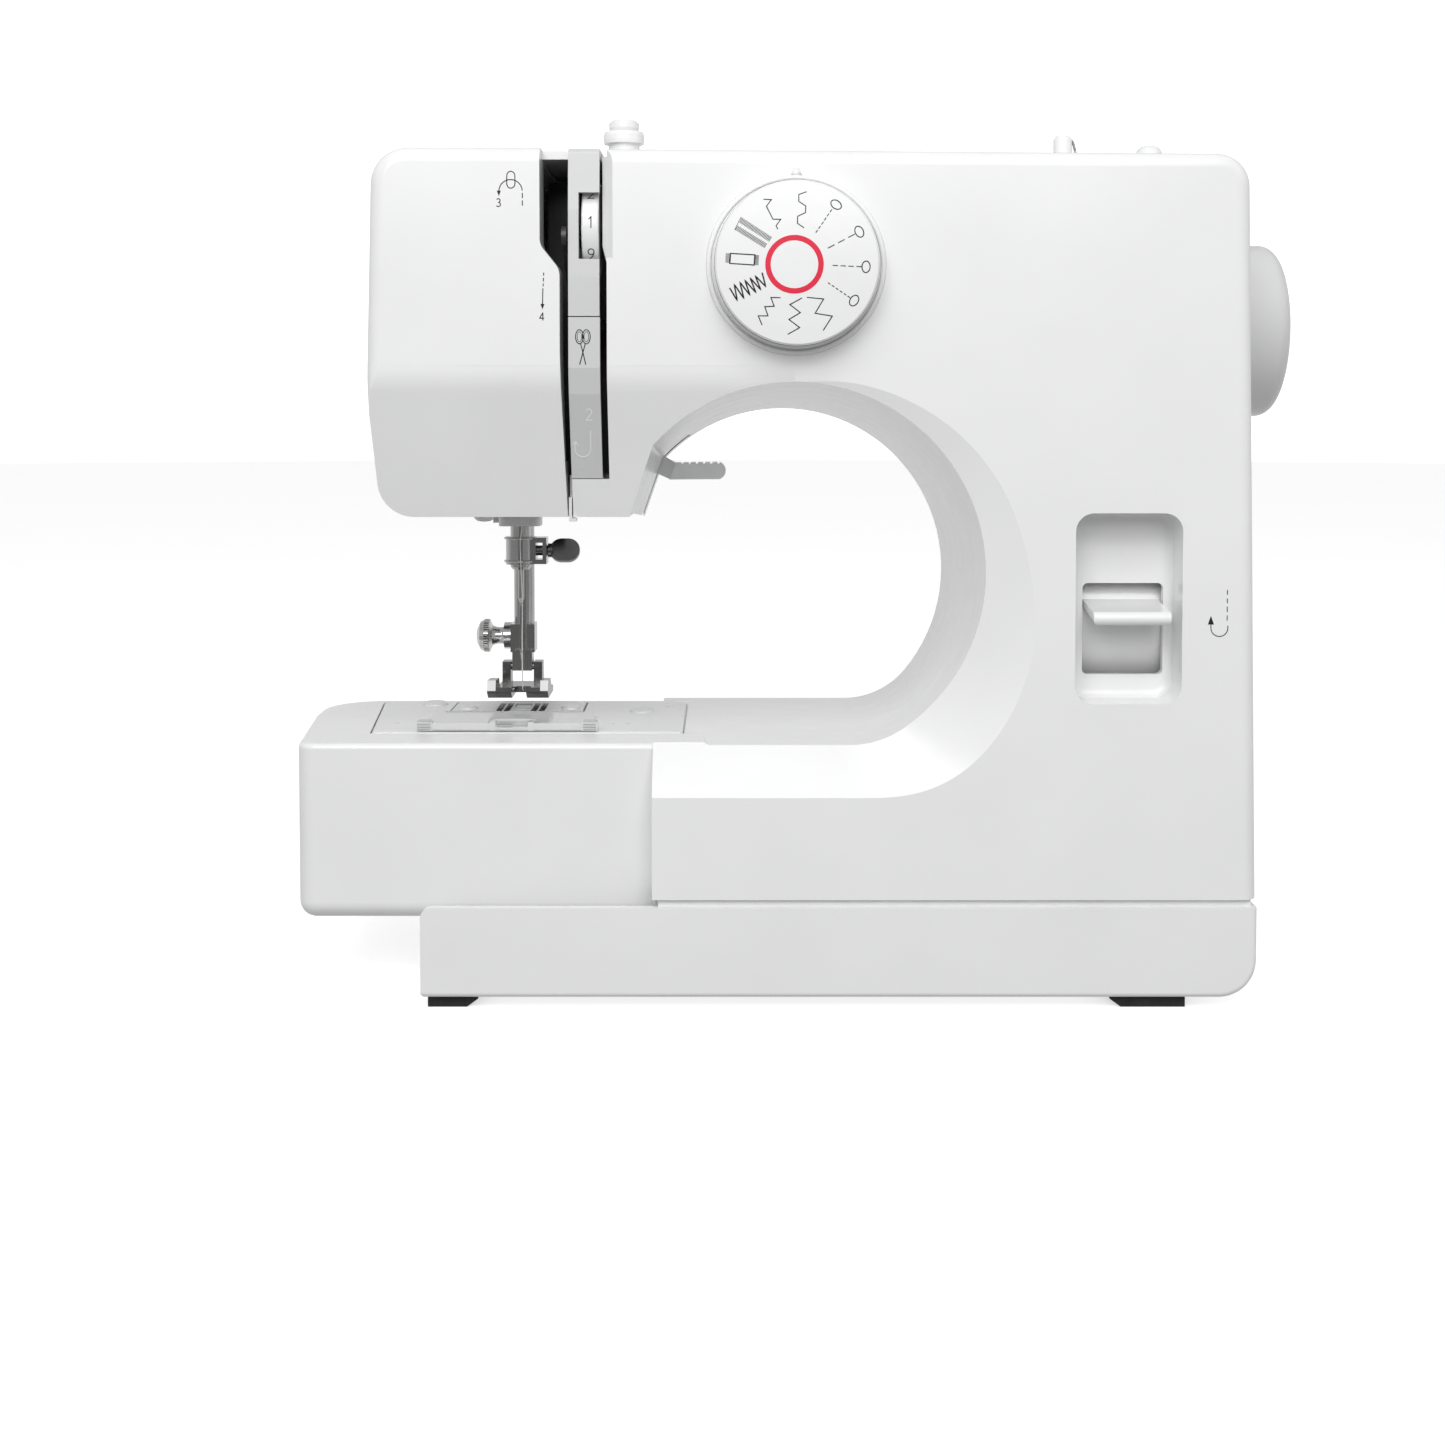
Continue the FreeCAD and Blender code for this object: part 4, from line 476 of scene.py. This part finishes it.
p.line(D([(-17.93, -6.66), (-15.87, -10.08), (-16.72, -5.72), (-14.12, -9.51), (-15.23, -5.15), (-12.5, -8.67), (-13.89, -4.65), (-10.92, -8.0),
          (-12.54, -4.04), (-9.64, -7.26), (-11.19, -3.47), (-8.4, -6.33), (-9.34, -2.7)]), 0.19)
p.line(D([(-17.66, 2.39), (-11.27, 1.99), (-11.47, -0.69), (-17.86, -0.22)]), 0.15, closed=True)


def hatch(ink, q0, q1, q2, q3, n, w):
    """Bars across a four-sided strip whose long sides are q0-q1 and q3-q2."""
    for k in range(n):
        t = (k + 0.5) / n
        a = (q0[0] + (q1[0] - q0[0]) * t, q0[1] + (q1[1] - q0[1]) * t)
        b = (q3[0] + (q2[0] - q3[0]) * t, q3[1] + (q2[1] - q3[1]) * t)
        ink.line(D([a, b]), w)


hatch(p, (-18.95, 2.45), (-17.80, 2.40), (-17.95, -0.20), (-19.05, 0.02), 4, 0.075)
hatch(p, (-11.15, 1.98), (-10.15, 1.92), (-10.32, -0.74), (-11.35, -0.69), 4, 0.075)
hatch(p, (-14.8, 11.9), (-6.73, 6.64), (-7.47, 5.4), (-15.4, 10.5), 27, 0.085)
hatch(p, (-15.85, 9.75), (-8.0, 4.9), (-8.68, 3.73), (-16.55, 8.6), 27, 0.085)
p.line(D([(-14.9, 11.95), (-16.6, 8.55)]), 0.07)
p.line(D([(-8.99, 16.61), (-6.91, 16.51), (-8.22, 14.77), (-6.5, 11.36), (-4.45, 11.33), (-5.66, 9.65), (-5.22, 8.75)]), W)
p.make()
p = Ink("print_dial_ring", on_front("stitch_dial", 0.04), ink_red, "stitch_selector")
p.ring((DX - 0.80, DZ - 0.49), 7.72, 6.28)
p.make()

# raised seat ring on the cover round the dial
front = on_front("front_cover", 0.0)
vs, fs = [], []
RN, CN = 120, 8
for k in range(RN):
    a = 2 * math.pi * k / RN
    for c in range(CN):
        g = 2 * math.pi * c / CN
        r = 23.55 + 0.75 * math.cos(g)
        base = front(DX + r * math.cos(a), DZ + r * math.sin(a), True)
        vs.append(base + Vector((0, -0.62 * MM * math.sin(g), 0)))
for k in range(RN):
    for c in range(CN):
        a, b = k * CN + c, k * CN + (c + 1) % CN
        d, e = ((k + 1) % RN) * CN + (c + 1) % CN, ((k + 1) % RN) * CN + c
        fs.append((a, b, d, e))
k = len(vs)
tip = [(-1.5, 23.9, 0.5), (1.5, 23.9, 0.5), (0.75, 26.0, 0.45), (-0.75, 26.0, 0.45)]
for up in (0.0, 1.0):
    for u, v, h in tip:
        vs.append(front(DX + u, DZ + v, True) + Vector((0, -h * MM * up + 0.05 * MM * (1 - up), 0)))
fs.extend([(k + 4, k + 5, k + 6, k + 7), (k, k + 1, k + 5, k + 4), (k + 1, k + 2, k + 6, k + 5), (k + 2, k + 3, k + 7, k + 6), (k + 3, k, k + 4, k + 7), (k + 3, k + 2, k + 1, k)])
obj("dial_seat_ring", vs, fs, white, "machine", smooth=True)

# dark ring round the side of the dial: a painted shadow line where the dial's rim meets the cover
vs, fs = [], []
RG = 21.93
for k in range(RN):
    a = 2 * math.pi * k / RN
    for dr, dy in ((-0.25, 0.0), (0.06, 0.1), (0.06, 0.85), (-0.25, 0.95)):
        vs.append(Vector(((DX + (RG + dr) * math.cos(a)) * MM, (-56.9 + dy) * MM, (DZ + (RG + dr) * math.sin(a)) * MM)))
for k in range(RN):
    for c in range(4):
        a, b = k * 4 + c, k * 4 + (c + 1) % 4
        d, e = ((k + 1) % RN) * 4 + (c + 1) % 4, ((k + 1) % RN) * 4 + c
        fs.append((a, b, d, e))
obj("dial_painted_shadow_line", vs, fs, dark, "stitch_selector", smooth=True)

# ---------------------------------------------------------------- numbers round the tension wheel
p = Ink("print_tension", on_drum(-61.2, -35.6, 213.8, 12.6, 0.03), ink_soft, "tension_wheel", vscale=12.6 * math.pi / 180.0)
for k, ch in enumerate("123456789"):
    p.digit(ch, (0.2, (4.0 + 40.0 * k) * 12.6 * math.pi / 180.0), 3.1, 0.14)
p.make()

# ---------------------------------------------------------------- clear cover trims
vs, fs = [], []


def slab(x0, x1, y0, y1, z0, z1, skew=0.0):
    k = len(vs)
    for zz in (z0, z1):
        for x, y in ((x0, y0), (x1, y0), (x1 + skew, y1), (x0 + skew, y1)):
            vs.append((x * MM, y * MM, zz * MM))
    fs.extend([(k, k + 3, k + 2, k + 1), (k + 4, k + 5, k + 6, k + 7), (k, k + 1, k + 5, k + 4), (k + 1, k + 2, k + 6, k + 5), (k + 2, k + 3, k + 7, k + 6), (k + 3, k, k + 4, k + 7)])


for x0 in (-113.6, -65.8):
    for i in range(3):
        slab(x0 + 0.2, x0 + 3.8, -18.2 + 1.25 * i, -17.6 + 1.25 * i, 74.1, 74.55)
    for i in range(3):
        slab(x0 + 0.1, x0 + 3.9, -18.85, -18.55, 72.0 + 0.75 * i, 72.35 + 0.75 * i)
# the three thin dark bars below are painted shadow lines: one under the front bar, two across the cover
slab(-109.2, -66.2, -18.6, -18.3, 71.75, 72.05)
slab(-108.9, -66.5, -15.4, -14.9, 72.6, 72.95)
slab(-109.6, -67.4, 9.6, 10.1, 72.6, 72.9)
trim = obj("bobbin_cover_ribs", vs, fs, clear_rib_shade, "slide_cover")
bv = trim.modifiers.new("edge", "BEVEL")
bv.width, bv.segments = 0.00012, 2

# ---------------------------------------------------------------- bed trims: shadow gaps round the plate, lip along the front
vs, fs = [], []
for x0, x1, y0, y1 in ((-109.75, -109.35, 14.6, 36.2), (-68.45, -68.05, 14.6, 36.2), (-109.35, -68.45, 13.35, 13.75), (-109.35, -68.45, 35.85, 36.2)):
    slab(x0, x1, y0, y1, 71.24, 71.36)
gap = obj("needle_plate_gap", vs, fs, dark, "machine")
bv = gap.modifiers.new("edge", "BEVEL")
bv.width, bv.segments = 0.00003, 2
vs, fs = [], []
slab(-126.0, -37.6, -19.9, -16.4, 71.2, 71.46)
lip = obj("bed_front_lip", vs, fs, white, "machine")
bv = lip.modifiers.new("edge", "BEVEL")
bv.width, bv.segments = 0.00012, 2

# ---------------------------------------------------------------- needle thread
path = [(-88.4, 17.6, 163.0), (-88.0, 17.6, 150.0), (-87.4, 17.7, 138.0), (-86.9, 17.9, 128.3), (-87.7, 18.7, 124.4), (-87.5, 18.6, 117.6), (-87.3, 20.6, 107.0), (-87.5, 22.7, 101.0), (-87.65, 23.32, 97.5), (-87.7, 23.40, 94.0), (-87.7, 23.36, 90.6), (-87.7, 23.45, 86.0), (-87.7, 23.70, 81.0), (-87.6, 24.0, 77.2)]
cu = bpy.data.curves.new("needle_thread", "CURVE")
cu.dimensions = "3D"
cu.resolution_u = 8
sp = cu.splines.new("NURBS")
sp.points.add(len(path) - 1)
for bp, q in zip(sp.points, path):
    bp.co = [c * MM for c in q] + [1.0]
sp.order_u = 3
sp.use_endpoint_u = True
cu.materials.append(thread_mat.m)
thread = bpy.data.objects.new("needle_thread", cu)
scene.collection.objects.link(thread)
bpy.context.view_layer.update()
line = bpy.data.meshes.new_from_object(thread)
bpy.data.meshes.remove(line)
cu.bevel_depth = 0.00015
cu.bevel_resolution = 3
cu.use_fill_caps = True
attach(thread, "needle_bar_set")

# ---------------------------------------------------------------- materials on the CAD nodes
use = {
    white: ["front_cover", "rear_cover", "face_cover", "stitch_dial", "tension_dial", "reverse_lever", "winding_guide", "winding_guide_disc", "winder_spindle", "spool_pin"],
    white_low: ["base_tray", "free_arm_cover"],
    bed_white: ["bed_insert"],
    panel_grey: ["tension_panel", "thread_guide_panel"],
    wheel_grey: ["handwheel"],
    lifter_grey: ["presser_lifter"],
    case_grey: ["bobbin_case"],
    dark: ["take_up_lever", "take_up_channel", "winder_carriage", "dc_inlet", "pedal_jack", "power_switch", "upper_pulley", "lower_pulley", "drive_pulley"],
    nylon: ["hook_gear", "hook_drive_gear"],
    motor_paint: ["motor"],
    lens: ["head_lamp"],
    rubber: ["rubber_feet"],
    belt: ["timing_belt", "motor_belt"],
    chrome: ["needle_bar", "presser_bar", "needle_clamp", "presser_foot_holder", "needle", "winder_clip"],
    foot_chrome_painted_shade: ["presser_foot"],
    wing_chrome_painted_shade: ["needle_clamp_screw"],
    chrome_x: ["cover_screws"],
    satin: ["needle_plate", "bed_screws", "needle_gate", "face_thread_guide"],
    thumb: ["presser_thumb_screw"],
    steel: ["feed_dog", "rotary_hook"],
    shaft_steel: ["upper_shaft", "lower_shaft", "motor_pulley"],
    alloy: ["main_frame", "crank_disc", "connecting_rod", "presser_guide_bracket"],
    bronze: ["shaft_bushes"],
    clear: ["bobbin_cover", "bobbin"],
}
for m, names in use.items():
    for n in names:
        o = N[n]
        o.data.materials.clear()
        o.data.materials.append(m.m)
left = [n for n in N if not any(n in v for v in use.values())]
if left:
    print("no material for", left)

# ---------------------------------------------------------------- stage
bm = bmesh.new()
R = 6.0
bmesh.ops.create_circle(bm, cap_ends=True, segments=96, radius=R)
me = bpy.data.meshes.new("studio_floor")
bm.to_mesh(me)
bm.free()
floor = bpy.data.objects.new("studio_floor", me)
scene.collection.objects.link(floor)
fl = Mat("floor_acrylic")
fl.color(fl.mix(fl.span(fl.noise(3.0, 4.0), 0.0, 1.0), (0.80, 0.80, 0.80), (0.82, 0.82, 0.82)))
fl.rough(fl.span(fl.noise(40.0, 4.0), 0.75, 0.9))
fl.set(Specular_IOR_Level=0.15, Emission_Color=(1.0, 1.0, 1.0), Emission_Strength=0.60)
me.materials.append(fl.m)
fl.m.cycles.emission_sampling = "NONE"
floor.visible_diffuse = floor.visible_glossy = floor.visible_transmission = False

# white surround behind everything, seen directly only
bm = bmesh.new()
bmesh.ops.create_uvsphere(bm, u_segments=48, v_segments=24, radius=7.0)
me = bpy.data.meshes.new("studio_surround")
bm.to_mesh(me)
bm.free()
dome = bpy.data.objects.new("studio_surround", me)
scene.collection.objects.link(dome)
sr = Mat("surround_white")
sr.color(sr.mix(sr.span(sr.noise(0.4, 2.0), 0.0, 1.0), (0.80, 0.80, 0.80), (0.82, 0.82, 0.82)))
sr.set(Emission_Color=(1.0, 1.0, 1.0), Emission_Strength=1.0)
me.materials.append(sr.m)
sr.m.cycles.emission_sampling = "NONE"
dome.visible_diffuse = dome.visible_glossy = dome.visible_transmission = dome.visible_shadow = False

# dark flag round the camera, for the bright metal
me = bpy.data.meshes.new("studio_flag")
me.from_pydata([(-0.34, -0.95, -0.35), (0.26, -0.95, -0.35), (0.26, -0.95, 0.30), (-0.34, -0.95, 0.30)], [], [(0, 1, 2, 3)])
me.update()
flag = bpy.data.objects.new("studio_flag", me)
scene.collection.objects.link(flag)
fm = Mat("flag_cloth")
fm.color(fm.mix(fm.span(fm.noise(60.0, 4.0), 0.0, 1.0), (0.02, 0.02, 0.02), (0.04, 0.04, 0.04)))
fm.set(Emission_Color=(1.0, 1.0, 1.0), Emission_Strength=0.13)
fm.m.cycles.emission_sampling = "NONE"
me.materials.append(fm.m)
flag.visible_camera = flag.visible_diffuse = flag.visible_transmission = flag.visible_shadow = False

# studio: grey tent, brighter in front, with its own level low, level and high
FRONT_LOW, FRONT_MID, FRONT_HIGH, BACK_LOW, BACK_HIGH = 0.28, 0.38, 0.36, 0.74, 0.46
w = bpy.data.worlds.new("studio")
scene.world = w
w.use_nodes = True
nt = w.node_tree
bg = nt.nodes["Background"]
tc = nt.nodes.new("ShaderNodeTexCoord")
sx = nt.nodes.new("ShaderNodeSeparateXYZ")
nt.links.new(tc.outputs["Generated"], sx.inputs[0])


def ramp(src, lo, hi, stops):
    rm = nt.nodes.new("ShaderNodeMapRange")
    rm.inputs["From Min"].default_value = lo
    rm.inputs["From Max"].default_value = hi
    nt.links.new(src, rm.inputs["Value"])
    cr = nt.nodes.new("ShaderNodeValToRGB")
    el = cr.color_ramp.elements
    el[0].position, el[0].color = 0.0, (stops[0][1],) * 3 + (1,)
    el[1].position, el[1].color = 1.0, (stops[-1][1],) * 3 + (1,)
    for pos, v in stops[1:-1]:
        e = el.new(pos)
        e.color = (v, v, v, 1)
    nt.links.new(rm.outputs["Result"], cr.inputs["Fac"])
    return cr.outputs["Color"]


front_sky = ramp(sx.outputs[2], -1.0, 1.0, [(0.0, FRONT_LOW), (0.40, FRONT_LOW), (0.49, FRONT_MID), (0.62, FRONT_MID), (0.72, FRONT_HIGH), (1.0, FRONT_HIGH)])
back_sky = ramp(sx.outputs[2], -1.0, 1.0, [(0.0, BACK_LOW), (0.60, BACK_LOW), (0.75, BACK_HIGH), (1.0, BACK_HIGH)])
side = ramp(sx.outputs[1], -0.3, 0.4, [(0.0, 0.0), (1.0, 1.0)])
mx = nt.nodes.new("ShaderNodeMix")
mx.data_type = "RGBA"
nt.links.new(side, mx.inputs[0])
nt.links.new(front_sky, mx.inputs[6])
nt.links.new(back_sky, mx.inputs[7])
nt.links.new(mx.outputs[2], bg.inputs["Color"])
bg.inputs["Strength"].default_value = 1.0


def area(name, loc, aim, width, height, power):
    ld = bpy.data.lights.new(name, "AREA")
    ld.shape = "RECTANGLE"
    ld.size, ld.size_y, ld.energy = width, height, power
    lo = bpy.data.objects.new(name, ld)
    lo.location = loc
    lo.rotation_euler = (Vector(aim) - Vector(loc)).to_track_quat("-Z", "Y").to_euler()
    scene.collection.objects.link(lo)
    return lo


area("front_softbox", (-0.12, -1.15, 0.66), (0.0, 0.0, 0.12), 1.0, 0.6, 6.0)
area("high_softbox", (-0.10, -0.85, 1.00), (0.0, 0.0, 0.12), 1.0, 0.7, 6.9)
area("left_softbox", (-1.1, -0.5, 0.55), (0.0, 0.0, 0.12), 0.6, 1.0, 0.2)
area("right_softbox", (1.1, -0.5, 0.55), (0.0, 0.0, 0.12), 0.6, 1.0, 0.8)

cam_data = bpy.data.cameras.new("camera")
cam = bpy.data.objects.new("camera", cam_data)
scene.collection.objects.link(cam)
cam.location = (-0.02545, -0.5495, 0.1633)
cam.rotation_euler = (math.radians(87.5), 0.0, 0.0)
cam_data.lens = 46.14
cam_data.sensor_width = 36.0
cam_data.shift_y = -0.158
cam_data.clip_start, cam_data.clip_end = 0.01, 50.0
scene.camera = cam
scene.view_settings.view_transform = "Standard"
scene.view_settings.look = "None"
